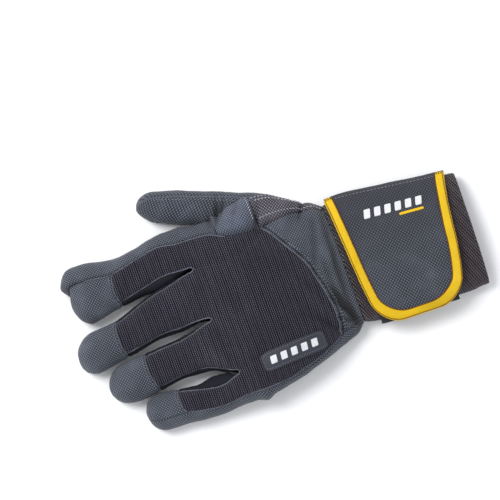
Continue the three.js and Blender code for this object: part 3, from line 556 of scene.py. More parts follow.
def patch(base, seams="", groove=0.75, calm=1.0, ribs=(), straight=False, slanting=False, puff=0.0):
    """One grid of cloth: the plain surface, and the same with its relief and with its sewn sides rolled in.

    seams names the sewn sides: l and r are the first and last column, b and t the first and last row. ribs
    are pairs of a distance from the last row and a depth, for grooves along it. puff is how far the middle
    stands out. The crease shade is 0 to 1: painted shade, deepest in the folds and beside the seams.
    The cloth coordinates are lengths in millimetres: round the section from its middle column, and along
    each column, or straight along the hand. A slanting part's begin at its own middle column and first row.
    """
    across, up = lengths(base, 1), lengths(base, 0)
    far = {
        "l": across,
        "r": across[:, -1:] - across,
        "b": up,
        "t": up[-1:] - up,
    }
    edge = np.full(base.shape[:2], FAR_FROM_SEAM)
    for side in seams:
        edge = np.minimum(edge, far[side])
    roll = groove * (1 - np.clip(edge / ROLL_WIDTH, 0, 1)) ** 2
    for distance, depth in ribs:
        roll = roll + depth * np.exp(-(((far["t"] - distance) / RIB_WIDTH) ** 2))
    # painted shade: the colour darkens in the folds and in the rolled seams and stitch grooves
    crease_shade = np.clip(folds_at(base, True) / FULL_FOLD, 0, 1) + ROLL_SHADE * roll
    raised = relief(base, edge, calm) - roll + puff * smooth(edge, 0, PUFF_EDGE)
    shown = base + normals(base) * raised[..., None]
    shown[..., 2] = np.maximum(shown[..., 2], LOWEST)
    middle = base.shape[1] // 2
    around = lengths(base * [1.0, 0.0, 1.0], 1)
    u, v = around - around[:, middle : middle + 1], up
    if not slanting:
        u = u - base[:, middle : middle + 1, 0]
        v = base[..., 1] if straight else base[:1, :, 1] + up
    return {"base": base, "shown": shown, "cloth": np.stack([u, v], -1), "crease_shade": np.clip(crease_shade, 0, 1)}


def mesh_object(name, points, faces, paint, cloth=None):
    """A smooth mesh from millimetre points in the hand's own frame; cloth holds a pair for each corner."""
    mesh = bpy.data.meshes.new(name)
    mesh.from_pydata(((points + HAND_ORIGIN) * 0.001).tolist(), [], faces.tolist())
    mesh.polygons.foreach_set("use_smooth", np.ones(len(mesh.polygons), bool))
    if cloth is not None:
        layer = mesh.uv_layers.new(name="cloth")
        layer.data.foreach_set("uv", (cloth * 0.001).ravel().astype(np.float32))
    mesh.materials.append(paint)
    made = bpy.data.objects.new(name, mesh)
    bpy.context.scene.collection.objects.link(made)
    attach(made, "root")
    return made


def cloth_piece(name, patches, wall, paint):
    """Grids that share their borders, welded where their plain points meet, with the wall inside them."""
    base = np.concatenate([one["base"].reshape(-1, 3) for one in patches])
    shown = np.concatenate([one["shown"].reshape(-1, 3) for one in patches])
    flat = np.concatenate([one["cloth"].reshape(-1, 2) for one in patches])
    crease_shade = np.concatenate([one["crease_shade"].ravel() for one in patches])
    corners, start = [], 0
    for one in patches:
        rows, columns = one["base"].shape[:2]
        index = start + np.arange(rows * columns).reshape(rows, columns)
        a, b, c, d = index[:-1, :-1], index[1:, :-1], index[1:, 1:], index[:-1, 1:]
        corners += [np.stack([a, b, c], -1).reshape(-1, 3), np.stack([a, c, d], -1).reshape(-1, 3)]
        start += rows * columns
    corners = np.concatenate(corners)
    owner = np.unique(np.round(base, 2), axis=0, return_inverse=True)[1].ravel()
    count = np.bincount(owner)
    points = np.stack([np.bincount(owner, shown[:, k]) / count for k in range(3)], -1)
    faces = owner[corners]
    whole = (faces != np.roll(faces, 1, axis=1)).all(axis=1)
    made = mesh_object(name, points, faces[whole], paint, flat[corners[whole]])
    # the painted shade of folds and seams, kept on each point for the material
    layer = made.data.attributes.new("crease_shade", "FLOAT", "POINT")
    layer.data.foreach_set("value", (np.bincount(owner, crease_shade) / count).astype(np.float32))
    solidify = made.modifiers.new("wall", "SOLIDIFY")
    solidify.thickness = wall * 0.001
    solidify.offset = -1.0
    return made


def reckon(new, operation, *values):
    """The result of one sum on sockets or numbers."""
    return new("Math", dict(enumerate(values)), operation=operation).outputs[0]


def spread(new, value, low=0.0, high=1.0, start=0.0, end=1.0):
    """A value between low and high, told as one between start and end."""
    ranges = {"Value": value, "From Min": low, "From Max": high, "To Min": start, "To Max": end}
    return new("MapRange", ranges).outputs[0]


def mixed(new, share, first, second):
    """A share's mix of two colours."""
    colours = {"Factor": share, "A": first, "B": second}
    return new("Mix", colours, data_type="RGBA").outputs["Result"]


def noise(new, place, scale, detail, kind="Fac"):
    """Cloudy noise over a place."""
    return new("TexNoise", {"Vector": place, "Scale": scale, "Detail": detail}).outputs[kind]


def lattice(new, vector, pitch, turned):
    """A wave from 0 to 1 along a turned axis: half of one plus the cosine of the turns made so far."""
    axes = new("VectorRotate", {"Vector": vector, "Angle": turned}, rotation_type="Z_AXIS")
    split = new("SeparateXYZ", {0: axes.outputs[0]})
    angle = reckon(new, "MULTIPLY", reckon(new, "DIVIDE", split.outputs[1], pitch), TURN)
    return reckon(new, "MULTIPLY_ADD", reckon(new, "COSINE", angle), 0.5, 0.5)


def cloth_group(name, values, build):
    """A node group from cloth coordinates and named values to a colour, a roughness and a height.

    build(new, input sockets) fills it and returns those three sockets.
    """
    tree = bpy.data.node_groups.new(name, "ShaderNodeTree")
    for key, value in {"Cloth": (0.0, 0.0, 0.0), **values}.items():
        kind = "Float" if isinstance(value, float) else "Vector" if len(value) == 3 else "Color"
        tree.interface.new_socket(key, in_out="INPUT", socket_type="NodeSocket" + kind).default_value = value
    for key, kind in (("Color", "Color"), ("Roughness", "Float"), ("Height", "Float")):
        tree.interface.new_socket(key, in_out="OUTPUT", socket_type="NodeSocket" + kind)
    entry = tree.nodes.new("NodeGroupInput")
    leave = tree.nodes.new("NodeGroupOutput")
    for k, socket in enumerate(build(network(tree), entry.outputs)):
        tree.links.new(socket, leave.inputs[k])
    return tree


def build_leather(new, given):
    """Rows of small embossed dots on two slanting axes, fine grain between them, and paler rubbed patches."""
    first = lattice(new, given["Cloth"], given["Pitch"], np.radians(38))
    second = lattice(new, given["Cloth"], given["Pitch"], np.radians(-46))
    dots = reckon(new, "MULTIPLY", first, second)
    grain = noise(new, given["Cloth"], 2.6, 3.0)
    worn = spread(new, noise(new, given["Cloth"], 0.05, 5.0), 0.35, 0.7)
    shade = mixed(new, spread(new, dots, 0.06, 0.5), given["Deep"], given["Shown"])
    rubbed = mixed(new, worn, shade, given["Rubbed"])
    colour = mixed(new, reckon(new, "MULTIPLY", worn, 0.22), shade, rubbed)
    height = reckon(new, "MULTIPLY_ADD", grain, 0.28, dots)
    return colour, spread(new, grain, start=0.52, end=0.78), height


LEATHER = cloth_group(
    "embossed_leather",
    {
        "Pitch": 1.5,
        "Deep": linear(7, 9, 13),
        "Shown": linear(104, 112, 129),
        "Rubbed": linear(122, 130, 146),
    },
    build_leather,
)


def cloth_material(name, tree, inputs, bump, tone=None, **constants):
    """A material whose colour, roughness and relief come from a cloth group in millimetres of cloth.

    Its colour is darkened towards near-black with painted shade where the mesh has a crease or a rolled seam,
    and tone(new, colour) may change it further.
    """
    made, shader, new = material(name, **constants)
    layer = new("UVMap", uv_map="cloth")
    scaled = new("VectorMath", {0: layer.outputs[0], 1: (1000.0, 1000.0, 1000.0)}, operation="MULTIPLY")
    cloth = new("Group", {"Cloth": scaled.outputs[0], **inputs}, node_tree=tree).outputs
    relieved = new("Bump", {"Height": cloth["Height"], "Distance": bump, "Strength": 1.0})
    # painted shade: the colour is mixed towards a near-black where the crease shade is high
    crease_shade = new("Attribute", attribute_name="crease_shade").outputs["Fac"]
    colour = mixed(new, spread(new, crease_shade, end=0.85), cloth["Color"], linear(12, 11, 15))
    if tone:
        colour = tone(new, colour)
    sources = {"Base Color": colour, "Roughness": cloth["Roughness"], "Normal": relieved.outputs[0]}
    for key, socket in sources.items():
        made.node_tree.links.new(socket, shader.inputs[key])
    return made


leather_paint = cloth_material(
    "leather", LEATHER, {}, 0.0005, Specular_IOR_Level=0.45, Sheen_Weight=0.1
)


def steps(start, end, count, ends="lr"):
    """Places from start to end, closer together at its start (l) or both ends: a share less a sine's part."""
    t = np.linspace(0, 1, count + 1)
    drawn = 0.1 * np.sin(TURN * t) if ends == "lr" else 0.16 * np.sin(np.pi * t)
    return lerp(start, end, t - drawn)


BAND_AT_THUMB = 0.47  # how far up the palm the wrist band's seam lies at the thumb's side
PETAL_TOP = 0.762
WIDTH_STEPS = 28  # grid steps over the back or the front of a finger
SIDE_STEPS = 12  # and down its sides, whose upper half belongs to the pieces of the back
HALF_SIDE = SIDE_STEPS // 2

back_columns = np.concatenate([*(steps(4 * f, 4 * f + 4, WIDTH_STEPS)[:-1] for f in range(4)), [16.0]])
little_side = np.linspace(16, 20, SIDE_STEPS + 1)
thumb_side = np.linspace(36, 40, SIDE_STEPS + 1)
left_wall = np.linspace(4, 8, SIDE_STEPS + 1)
right_wall = np.linspace(12, 16, SIDE_STEPS + 1)
hand_shares = np.concatenate([
    np.linspace(0, BAND_AT_THUMB, 40)[:-1],
    np.linspace(BAND_AT_THUMB, PETAL_TOP, 25)[:-1],
    np.linspace(PETAL_TOP, 1, 22),
])


def rise_at(column):
    """How far up the palm's length the fingers start at a column of the hand."""
    stops = STRIP_ROWS["rise"]
    return np.interp(column, np.arange(0, 44, 4), [*stops, *stops[::-1], stops[0]])


def finger_shares(f):
    """Rows along a finger: from the slit to the cap's seam, then closer together towards the tip."""
    cap = FINGERS[f]["cap"]
    body = steps(0, cap, 44, "l")
    tip = cap + (1 - cap) * np.sin(np.pi / 2 * np.linspace(0, 1, 27))
    return body, tip


def finger_grid(f, columns, shares):
    """A part of finger f as a grid, with a row for each share of its length."""
    return finger_surface(f, columns[None], shares[:, None])


under = np.concatenate([little_side[:-1], 20 + back_columns[:-1], thumb_side[: HALF_SIDE + 1]])
past_petal = hand_shares[hand_shares >= PETAL_TOP]
palm_patches = [
    patch(hand_surface(under[None], hand_shares[:, None] * rise_at(under)[None]), "l", calm=0.5),
    patch(hand_surface(thumb_side[None, HALF_SIDE:], past_petal[:, None]), "rb", calm=0.5),
]
for f in range(4):
    body, tip = finger_shares(f)
    whole = np.concatenate([body[:-1], tip])
    palm_patches.append(patch(finger_grid(f, steps(8, 12, WIDTH_STEPS), whole), "", calm=0.5))
    if f == 3:
        palm_patches.append(patch(finger_grid(f, left_wall, whole), "l"))
    else:
        palm_patches.append(patch(finger_grid(f, left_wall[HALF_SIDE:], tip), "lb"))
    if f == 0:
        palm_patches.append(patch(finger_grid(f, right_wall, whole), "r"))
    else:
        palm_patches.append(patch(finger_grid(f, right_wall[: HALF_SIDE + 1], tip), "rb"))

palm_panel = cloth_piece("palm_leather", palm_patches, PALM_WALL, leather_paint)
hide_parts("palm_panel")

# Back panel: one cut of thin dark stretch knit over the back of the hand and the four fingers, ribbed
# across the hand. Its cut edges are turned under and sewn, so they look a little paler along the slits.

KNIT_WALL = 1.6
LOOP_SLANT = 1.02
BACK_ROWS = 78
PETAL_ROW = 48  # the row of the back's grid at which its seam comes out from under the petal


def build_knit(new, given):
    """Ribs across the hand, each a row of small stitches that lie half a stitch off the next row's."""
    drift = noise(new, given["Cloth"], 0.05, 2.0, "Color")
    moved = new("VectorMath", {0: drift, 1: (0.8, 0.8, 0.0), 2: given["Cloth"]}, operation="MULTIPLY_ADD")
    ribs = lattice(new, moved.outputs[0], given["Pitch"], given["Turn"])
    thin = reckon(new, "MULTIPLY", given["Pitch"], 0.82)
    slants = [reckon(new, "ADD", given["Turn"], way * LOOP_SLANT) for way in (1, -1)]
    loops = reckon(new, "MULTIPLY", *(lattice(new, moved.outputs[0], thin, slant) for slant in slants))
    fibre = noise(new, given["Cloth"], 3.5, 3.0)
    height = reckon(new, "MULTIPLY_ADD", fibre, 0.25, reckon(new, "MULTIPLY_ADD", loops, 0.8, ribs))
    shade = mixed(new, spread(new, height, 0.98, 1.6), given["Deep"], given["Shown"])
    tint = spread(new, noise(new, given["Cloth"], 0.06, 4.0), 0.3, 0.7, end=0.3)
    rough = spread(new, height, high=1.5, start=0.95, end=0.72)
    return mixed(new, tint, shade, given["Tint"]), rough, height


KNIT = cloth_group(
    "rib_knit",
    {
        "Pitch": 1.44,
        "Turn": 0.0,
        "Deep": linear(2, 2, 5),
        "Shown": linear(132, 128, 155),
        "Tint": linear(16, 13, 24),
    },
    build_knit,
)
knit_paint = cloth_material(
    "back_knit", KNIT, {}, 0.0008, Specular_IOR_Level=0.15, Sheen_Weight=0.12, Sheen_Roughness=0.4
)

# How far up the palm the wrist band's seam lies, from the thumb's side to the little finger's.
BAND_SEAM = table(
    "along share",
    [
        [0.0, BAND_AT_THUMB],
        [0.25, 0.35],
        [0.4, 0.268],
        [0.53, 0.217],
        [0.7, 0.184],
        [0.84, 0.174],
        [1.0, 0.178],
    ],
)
band_edge = read(BAND_SEAM, "share", back_columns / 16)
up_share = steps(0, 1, BACK_ROWS, "l")[:, None]
hand_back = hand_surface(back_columns[None], lerp(band_edge, rise_at(back_columns), up_share))
back_patches = [patch(hand_back, "lrb", groove=0.6, straight=True)]
for f in range(4):
    finger_back = finger_grid(f, steps(0, 4, WIDTH_STEPS), finger_shares(f)[0])
    back_patches.append(patch(finger_back, "lrt", groove=0.6, straight=True))

back_panel = cloth_piece("back_knit", back_patches, KNIT_WALL, knit_paint)
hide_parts("back_panel")


def threads(centre, way, radius, sides):
    """Round threads, each a run of centres: circles square to its way, with a lid at both ends.

    centre and way hold thread, ring and axis; radius holds a size for each ring.
    """
    beside = np.cross(way, sky)
    beside /= np.maximum(np.linalg.norm(beside, axis=-1, keepdims=True), 1e-9)
    above = np.cross(beside, way)
    angle = TURN * np.arange(sides)[:, None] / sides
    ring = beside[..., None, :] * np.cos(angle) + above[..., None, :] * np.sin(angle)
    points = centre[..., None, :] + ring * radius[..., None, None]
    index = np.arange(points.size // 3).reshape(points.shape[:3])
    after = np.roll(index, -1, axis=2)
    quads = np.stack([index[:, :-1], index[:, 1:], after[:, 1:], after[:, :-1]], -1)
    ends = (index[:, 0], index[:, -1, ::-1])
    lids = [end[:, [0, k, k + 1, k + 2]] for end in ends for k in range(1, sides - 2, 2)]
    return points.reshape(-1, 3), np.concatenate([quads.reshape(-1, 4), *lids])


def tube(path, radius, sides=8):
    """One round thread along a path of points, drawn in at both ends."""
    way = np.gradient(path, axis=0)
    way /= np.maximum(np.linalg.norm(way, axis=1, keepdims=True), 1e-9)
    size = np.full(len(path), float(radius))
    size[[0, -1]] *= 0.3
    return threads(path[None], way[None], size[None], sides)


def thread_object(name, shapes, paint):
    """Threads as one mesh: their points one after another, and their faces renumbered to match."""
    points = np.concatenate([one_points for one_points, _ in shapes])
    starts = np.cumsum([0] + [len(one_points) for one_points, _ in shapes])
    faces = np.concatenate([one_faces + start for (_, one_faces), start in zip(shapes, starts)])
    return mesh_object(name, points, faces, paint)


def thread_material(name, colour, rough, dark_share=0.55):
    """A twisted thread's colour with fine light and dark turns."""
    made, shader, new = material(name, Roughness=rough, Specular_IOR_Level=0.3)
    turns = noise(new, new("TexCoord").outputs["Object"], 900.0, 2.0)
    dark = tuple(dark_share * value for value in colour[:3]) + (1.0,)
    made.node_tree.links.new(
        mixed(new, spread(new, turns, 0.3, 0.7), dark, colour), shader.inputs["Base Color"]
    )
    return made


seam_paint = thread_material("seam_edge", linear(106, 110, 122), 0.8)
hand_shown, *fingers_shown = (one["shown"] for one in back_patches)
slits = [
    np.concatenate([fingers_shown[k][::-1, -1], fingers_shown[k + 1][1:, 0]]) for k in range(3)
]
index_lip = np.concatenate([hand_shown[PETAL_ROW:, 0], fingers_shown[0][1:, 0]])
little_lip = np.concatenate([hand_shown[:, -1], fingers_shown[3][1:, -1]])
lips = [
    *(tube(slit[::2] + [0.0, 0.0, 0.1], 0.42) for slit in slits),
    *(tube(lip[::2] + [0.0, 0.0, 0.2], 0.38) for lip in (index_lip, little_lip)),
    tube(hand_shown[0, 1:-1] + [0.0, -0.3, 0.4], 0.4),
]
slit_lips = thread_object("slit_lips", lips, seam_paint)

# Fourchettes: three narrow strips of plain dark cloth that join the back and the palm between two fingers.
# The first and the last are cut fuller, and fill the ends of their slits.

SIDE_WALL = 1.3
SIDE_BULGES = [(1.7, 0.6), (0.2, 0.2), (0.6, 4.2)]  # of each strip, at its first and its second finger

side_paint = cloth_material(
    "side_cloth",
    KNIT,
    {"Pitch": 0.9, "Deep": linear(19, 21, 27), "Shown": linear(57, 61, 71), "Tint": linear(34, 37, 45)},
    0.0002,
    Specular_IOR_Level=0.2,
)
for k, (first_bulge, second_bulge) in enumerate(SIDE_BULGES):
    walls = []
    for f, columns, bulge in ((k, left_wall, -first_bulge), (k + 1, right_wall, second_bulge)):
        shares = finger_shares(f)[0]
        wall = finger_grid(f, columns, shares)
        swell = bulge * smooth(shares, 0.02, 0.12) * (1 - smooth(shares, 0.25, 0.45))
        wall[..., 0] += swell[:, None] * np.sin(np.pi * np.linspace(0, 1, SIDE_STEPS + 1))
        walls.append(patch(wall, "lrt"))
    fingers = f"{FINGERS[k]['name']}_{FINGERS[k + 1]['name']}"
    strip = cloth_piece(f"side_{fingers}", walls, SIDE_WALL, side_paint)
    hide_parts(f"fourchette_{fingers}")

# Caps: a shell of embossed leather over each fingertip, sewn to the back along a bowed seam with a low
# row of stitches. The index finger's is also sewn down between its two lobes.

LEATHER_WALL = 1.6
LOBE_SEAM_ROWS = 11


def cut_size(one):
    """The widest row and the longest column of a grid, in metres: the size of the flat cut."""
    return lengths(one["base"], 1)[:, -1].max() * 0.001, lengths(one["base"], 0)[-1].max() * 0.001


def stitches(path, long, gap, radius, lift=0.15):
    """A row of short thread spindles along a path: rings whose radius follows the root of a sine."""
    along = lengths(path, 0)
    at = np.arange(gap / 2, along[-1] - long, long + gap)
    t = np.array([0.0, 0.12, 0.35, 0.65, 0.88, 1.0])
    size = radius * np.sqrt(np.maximum(np.sin(np.pi * t), 0.02))
    place = at[:, None] + long * t[None]
    centre = np.stack([np.interp(place, along, path[:, k]) for k in range(3)], -1)
    way = centre[:, -1:] - centre[:, :1]
    way = way / np.linalg.norm(way, axis=-1, keepdims=True)
    outward = np.cross(np.cross(way, sky), way)
    outward /= np.linalg.norm(outward, axis=-1, keepdims=True)
    ways = np.broadcast_to(way, centre.shape)
    return threads(centre + outward * lift, ways, np.broadcast_to(size, centre.shape[:2]), 6)


low_stitch_paint = thread_material("low_stitch_thread", linear(124, 130, 144), 0.7)
cap_edges, cap_rows = [], []
for f, finger in enumerate(FINGERS):
    columns = steps(0, 4, WIDTH_STEPS)
    if f != 3:
        columns = np.concatenate([columns[:-1], left_wall[: HALF_SIDE + 1]])
    if f != 0:
        columns = np.concatenate([right_wall[HALF_SIDE:-1] - 16, columns])
    base = finger_grid(f, np.mod(columns, 16), finger_shares(f)[1])
    shell = patch(base, "blr" if f in (0, 3) else "br", groove=0.55)
    cap = cloth_piece(f"cap_leather_{finger['name']}", [shell], LEATHER_WALL, leather_paint)
    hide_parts(f"cap_{finger['name']}")
    cut_size(shell)
    cap_edges.append(tube(shell["shown"][0] + [0.0, 0.1, 0.35], 0.36))
    cap_rows.append(stitches(shell["shown"][1, 2:-2], long=1.3, gap=0.7, radius=0.26, lift=0.1))
    if f == 0:
        cap_edges.append(tube(shell["shown"][:LOBE_SEAM_ROWS, 0] + [0.0, 0.0, 0.4], 0.36))
cap_seams = thread_object("cap_seams", cap_edges, seam_paint)
cap_stitches = thread_object("cap_stitches", cap_rows, low_stitch_paint)

# Thumb: a tube of two leather cuts, back and front, that comes out of the ball of the thumb under the
# petal and is bent a little towards the fingers.

THUMB_LENGTH = 110.0
THUMB_WIDTH = 24.0
THUMB_HEIGHT = 19.0
THUMB_TIP_START = 1 - 0.55 * THUMB_WIDTH / THUMB_LENGTH
THUMB_ROOT_RISE = 0.8
THUMB_STEPS = 6  # grid steps in each column
THUMB_SEAM_FROM = 20  # the row at which its seams come out from under the petal
THUMB_STITCHED = slice(26, 92)
THUMB_ROWS = table(
    "along left right left_seam right_seam top",
    [
        [0.0, -0.5, 0.34, -0.42, 0.24, 1.05],
        [0.2, -0.6, 0.58, -0.5, 0.42, 1.15],
        [0.4, -0.5, 0.54, -0.42, 0.36, 1.05],
        [0.6, -0.47, 0.49, -0.39, 0.3, 1.0],
        [0.75, -0.47, 0.48, -0.38, 0.28, 0.98],
        [0.87, -0.42, 0.47, -0.32, 0.26, 0.95],
        [1.0, -0.3, 0.46, -0.2, 0.2, 0.85],
    ],
)


def handle(degrees):
    """A third of the thumb's length in a direction that leans outward from the hand's."""
    return 0.33 * THUMB_LENGTH * np.array([np.sin(np.radians(degrees)), np.cos(np.radians(degrees))])


thumb_root = np.array([0.335 * PALM_WIDTH, 0.2 * PALM_LENGTH])
thumb_tip = thumb_root + THUMB_LENGTH * np.array([0.422, 0.912])
controls = [thumb_root, thumb_root + handle(34), thumb_tip - handle(15), thumb_tip]
t = np.linspace(0, 1, 400)[:, None]
thumb_line = (
    controls[0] * (1 - t) ** 3
    + 3 * controls[1] * t * (1 - t) ** 2
    + 3 * controls[2] * t**2 * (1 - t)
    + controls[3] * t**3
)
thumb_lengths = lengths(thumb_line, 0)
thumb_along = thumb_lengths / thumb_lengths[-1]
thumb_steps = np.gradient(thumb_line, axis=0)
thumb_way = thumb_steps / np.linalg.norm(thumb_steps, axis=1, keepdims=True)


def thumb_surface(column, along):
    """The thumb at a column, 0 to 4 over its back, 8 to 12 under it: an oval square to its bent axis.

    Its root stands a little off the floor, inside the palm's leather.
    """
    column, along = np.broadcast_arrays(np.asarray(column, float), np.asarray(along, float))
    shrink = closing(along, THUMB_TIP_START)
    sides = {
        name: THUMB_WIDTH * read(THUMB_ROWS, name, along) * shrink
        for name in ("left", "right", "left_seam", "right_seam")
    }
    x, z = tube_section(sides, THUMB_HEIGHT * read(THUMB_ROWS, "top", along), column, shrink)
    z = z + THUMB_ROOT_RISE * (1 - smooth(along, 0.26, 0.42))
    line = [np.interp(along, thumb_along, thumb_line[:, k]) for k in (0, 1)]
    way = [np.interp(along, thumb_along, thumb_way[:, k]) for k in (0, 1)]
    return np.stack([line[0] + way[1] * x, line[1] - way[0] * x, z], -1)


def thumb_patch(first, last):
    """The cut of the thumb between two columns."""
    columns = np.linspace(first, last, THUMB_STEPS * (last - first) + 1)
    base = thumb_surface(columns[None], thumb_shares[:, None])
    return patch(base, "lr", groove=0.5, slanting=True)


thumb_shares = np.concatenate([
    np.linspace(0, THUMB_TIP_START, 90)[:-1],
    THUMB_TIP_START + (1 - THUMB_TIP_START) * np.sin(np.pi / 2 * np.linspace(0, 1, 21)),
])
thumb_back_patch = thumb_patch(0, 6)
thumb_paint = cloth_material(
    "thumb_leather",
    LEATHER,
    {"Pitch": 1.75, "Deep": linear(1, 1, 3), "Shown": linear(98, 106, 124), "Rubbed": linear(116, 123, 140)},
    0.0007,
    Specular_IOR_Level=0.45,
    Sheen_Weight=0.1,
)
thumb_back = cloth_piece("thumb_leather_back", [thumb_back_patch], LEATHER_WALL, thumb_paint)
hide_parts("thumb_back")
cut_size(thumb_back_patch)
thumb_front = cloth_piece("thumb_leather_front", [thumb_patch(6, 16)], PALM_WALL, thumb_paint)
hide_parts("thumb_front")
thumb_seams = [tube(thumb_back_patch["shown"][THUMB_SEAM_FROM:, k], 0.36) for k in (0, -1)]
thumb_seam = thread_object("thumb_seam", thumb_seams, seam_paint)
thumb_rows = [
    stitches(thumb_back_patch["shown"][THUMB_STITCHED, k], long=1.6, gap=0.9, radius=0.28, lift=0.1)
    for k in (4, -5)
]
thumb_stitches = thread_object("thumb_stitches", thumb_rows, low_stitch_paint)

# Petal: a small puffed leaf of embossed leather that covers the thumb's root, at the upper half of the
# hand's thumb side. It is sewn to the back and to the stretch mesh below it.

petal_shares = hand_shares[(hand_shares >= BAND_AT_THUMB) & (hand_shares <= PETAL_TOP)]
petal_base = hand_surface(thumb_side[None, HALF_SIDE:], petal_shares[:, None])
petal_patch = patch(petal_base, "rb", groove=0.9, puff=1.6)
petal_paint = cloth_material(
    "petal_leather",
    LEATHER,
    {"Deep": linear(38, 43, 54), "Shown": linear(115, 124, 145), "Rubbed": linear(130, 139, 158)},
    0.0005,
    Specular_IOR_Level=0.45,
    Sheen_Weight=0.1,
)
petal = cloth_piece("petal_leather", [petal_patch], LEATHER_WALL, petal_paint)
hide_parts("thumb_gusset")
cut_size(petal_patch)

# Wrist gusset: a small piece of stretch mesh between the petal and the cuff, at the thumb's side. It is
# sewn in on all four sides.

gusset_shares = hand_shares[hand_shares <= BAND_AT_THUMB]
gusset_base = hand_surface(thumb_side[None, HALF_SIDE:], gusset_shares[:, None])
gusset_patch = patch(gusset_base, "lrbt", groove=0.5)
mesh_paint = cloth_material(
    "stretch_mesh",
    LEATHER,
    {
        "Pitch": 1.7,
        "Deep": linear(26, 24, 32),
        "Shown": linear(124, 120, 130),
        "Rubbed": linear(150, 146, 154),
    },
    0.0004,
    Specular_IOR_Level=0.2,
)
wrist_gusset = cloth_piece("wrist_mesh", [gusset_patch], SIDE_WALL, mesh_paint)
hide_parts("wrist_gusset")
cut_size(gusset_patch)

# Wrist band: a crescent of embossed leather between the back and the cuff, with soft creases along it.
# Two rows of stitches lie in grooves beside its curved seam. The pale stitches of the petal and of the
# stretch mesh are sewn last.

BAND_STITCHES = [(2.5, 2.0, 0.5), (4.6, 1.6, 0.7)]  # each row's distance from the seam, stitch and gap

band_base = hand_surface(back_columns[None], steps(0, 1, 44)[:, None] * band_edge)
band_grooves = [(distance, 1.0) for distance, _, _ in BAND_STITCHES]
band_patch = patch(band_base, "lrbt", groove=0.6, ribs=band_grooves)
wrist_band = cloth_piece("band_leather", [band_patch], LEATHER_WALL, leather_paint)
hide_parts("wrist_band")
cut_size(band_patch)

pale_stitch_paint = thread_material("pale_stitch_thread", linear(196, 198, 204), 0.7)
dark_stitch_paint = thread_material("dark_stitch_thread", linear(34, 36, 43), 0.7)
band_up = lengths(band_base, 0)
band_far = band_up[-1:] - band_up
band_rows = []
for distance, long, gap in BAND_STITCHES:
    row = np.argmax(band_far < distance, axis=0)[None]
    before, after = (np.take_along_axis(band_far, row - k, 0) for k in (1, 0))
    share = ((before - distance) / (before - after))[..., None]
    start, end = (np.take_along_axis(band_patch["shown"], (row - k)[..., None], 0) for k in (1, 0))
    path = lerp(start, end, share)[0, 2:-2]
    band_rows.append(stitches(path, long, gap, radius=0.38, lift=0.5))
band_seam_stitches = thread_object("band_seam_stitches", band_rows[:1], dark_stitch_paint)
band_stitches = thread_object("band_stitches", band_rows[1:], low_stitch_paint)
petal_rows = [
    stitches(petal_patch["shown"][2, :-1], long=1.4, gap=0.7, radius=0.3),
    stitches(gusset_patch["shown"][1:-1, 1], long=1.6, gap=0.8, radius=0.34),
    stitches(gusset_patch["shown"][1:-1, 2], long=1.6, gap=0.8, radius=0.34),
    stitches(gusset_patch["shown"][1:-1, -2], long=1.4, gap=0.9, radius=0.3),
]
petal_stitches = thread_object("petal_stitches", petal_rows, pale_stitch_paint)

# Cuff: a flattened tube of thick dark elastic knit, sewn to the wrist and hemmed at its open end. It lies
# a little longer at the thumb's side.

CUFF_LENGTH = 90.0
CUFF_HEIGHT = 20.0
CUFF_WALL = 2.0
CUFF_PULL = 0.6
CUFF_SLANT = 1.6
CUFF_ROWS = table(
    "along left right top",
    [
        [0.0, -0.277, 0.377, 0.99],
        [0.15, -0.297, 0.38, 0.95],
        [0.5, -0.304, 0.349, 0.9],
        [0.85, -0.31, 0.317, 0.84],
        [1.0, -0.304, 0.306, 0.8],
    ],
)


def cuff_sizes(along):
    """Left side, right side and top of the cuff's oval."""
    left, right = (PALM_WIDTH * read(CUFF_ROWS, side, along) for side in ("left", "right"))
    return left, right, CUFF_HEIGHT * read(CUFF_ROWS, "top", along)


def cuff_surface(angle, along):
    """The cuff at an angle round its oval and a share of its length from the wrist seam.

    It is stretched a little towards its open end, by the cube of the share, most at the thumb's side.
    """
    angle, along = np.broadcast_arrays(np.asarray(angle, float), np.asarray(along, float))
    x, z = oval(*cuff_sizes(along), angle)
    pulled = (CUFF_PULL + CUFF_SLANT * x / (0.3 * PALM_WIDTH)) * along**3
    return np.stack([x, -along * CUFF_LENGTH - pulled, z], -1)


cuff_paint = cloth_material(
    "cuff_elastic",
    KNIT,
    {
        "Pitch": 1.6,
        "Turn": 0.42,
        "Deep": linear(4, 2, 4),
        "Shown": linear(136, 114, 128),
        "Tint": linear(36, 26, 33),
    },
    0.0008,
    Specular_IOR_Level=0.2,
    Sheen_Weight=0.25,
)
cuff_base = cuff_surface(np.linspace(0, TURN, 181)[None], steps(1, 0, 100)[:, None])
cuff_patch = patch(cuff_base, "bt", groove=0.6)
cuff = cloth_piece("cuff_knit", [cuff_patch], CUFF_WALL, cuff_paint)
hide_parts("cuff")
cut_size(cuff_patch)

# Closing flap: a tapered tongue of embossed grey cloth that is sewn to the cuff's thumb side, wraps over
# its back, and ends in two round corners past its other side. It is darker towards its fold.

FLAP_WIDTH = 86.0
FLAP_SPAN = 0.74 * PALM_WIDTH
FLAP_WALL = 1.8
FLAP_BEND = 0.86  # where the flap leaves the cuff's side and hangs down past it
FLAP_CORNER = 0.84  # where its sides start to turn in
FLAP_PAST = 4.8
FLAP_DROP = 3.5
FLAP_GAP = 1.0
FLAP_SKEW = 0.07  # how far the flap leans towards the hand, as a share of its width
FLAP_TAPER = 0.33
SEAM_GAP = 0.36
HOOK_WALL = 1.1
BINDING_FOLD = 0.7
FLAP_RAISE = BINDING_FOLD + 2 * SEAM_GAP
FLAP_TOP = FLAP_RAISE + FLAP_WALL


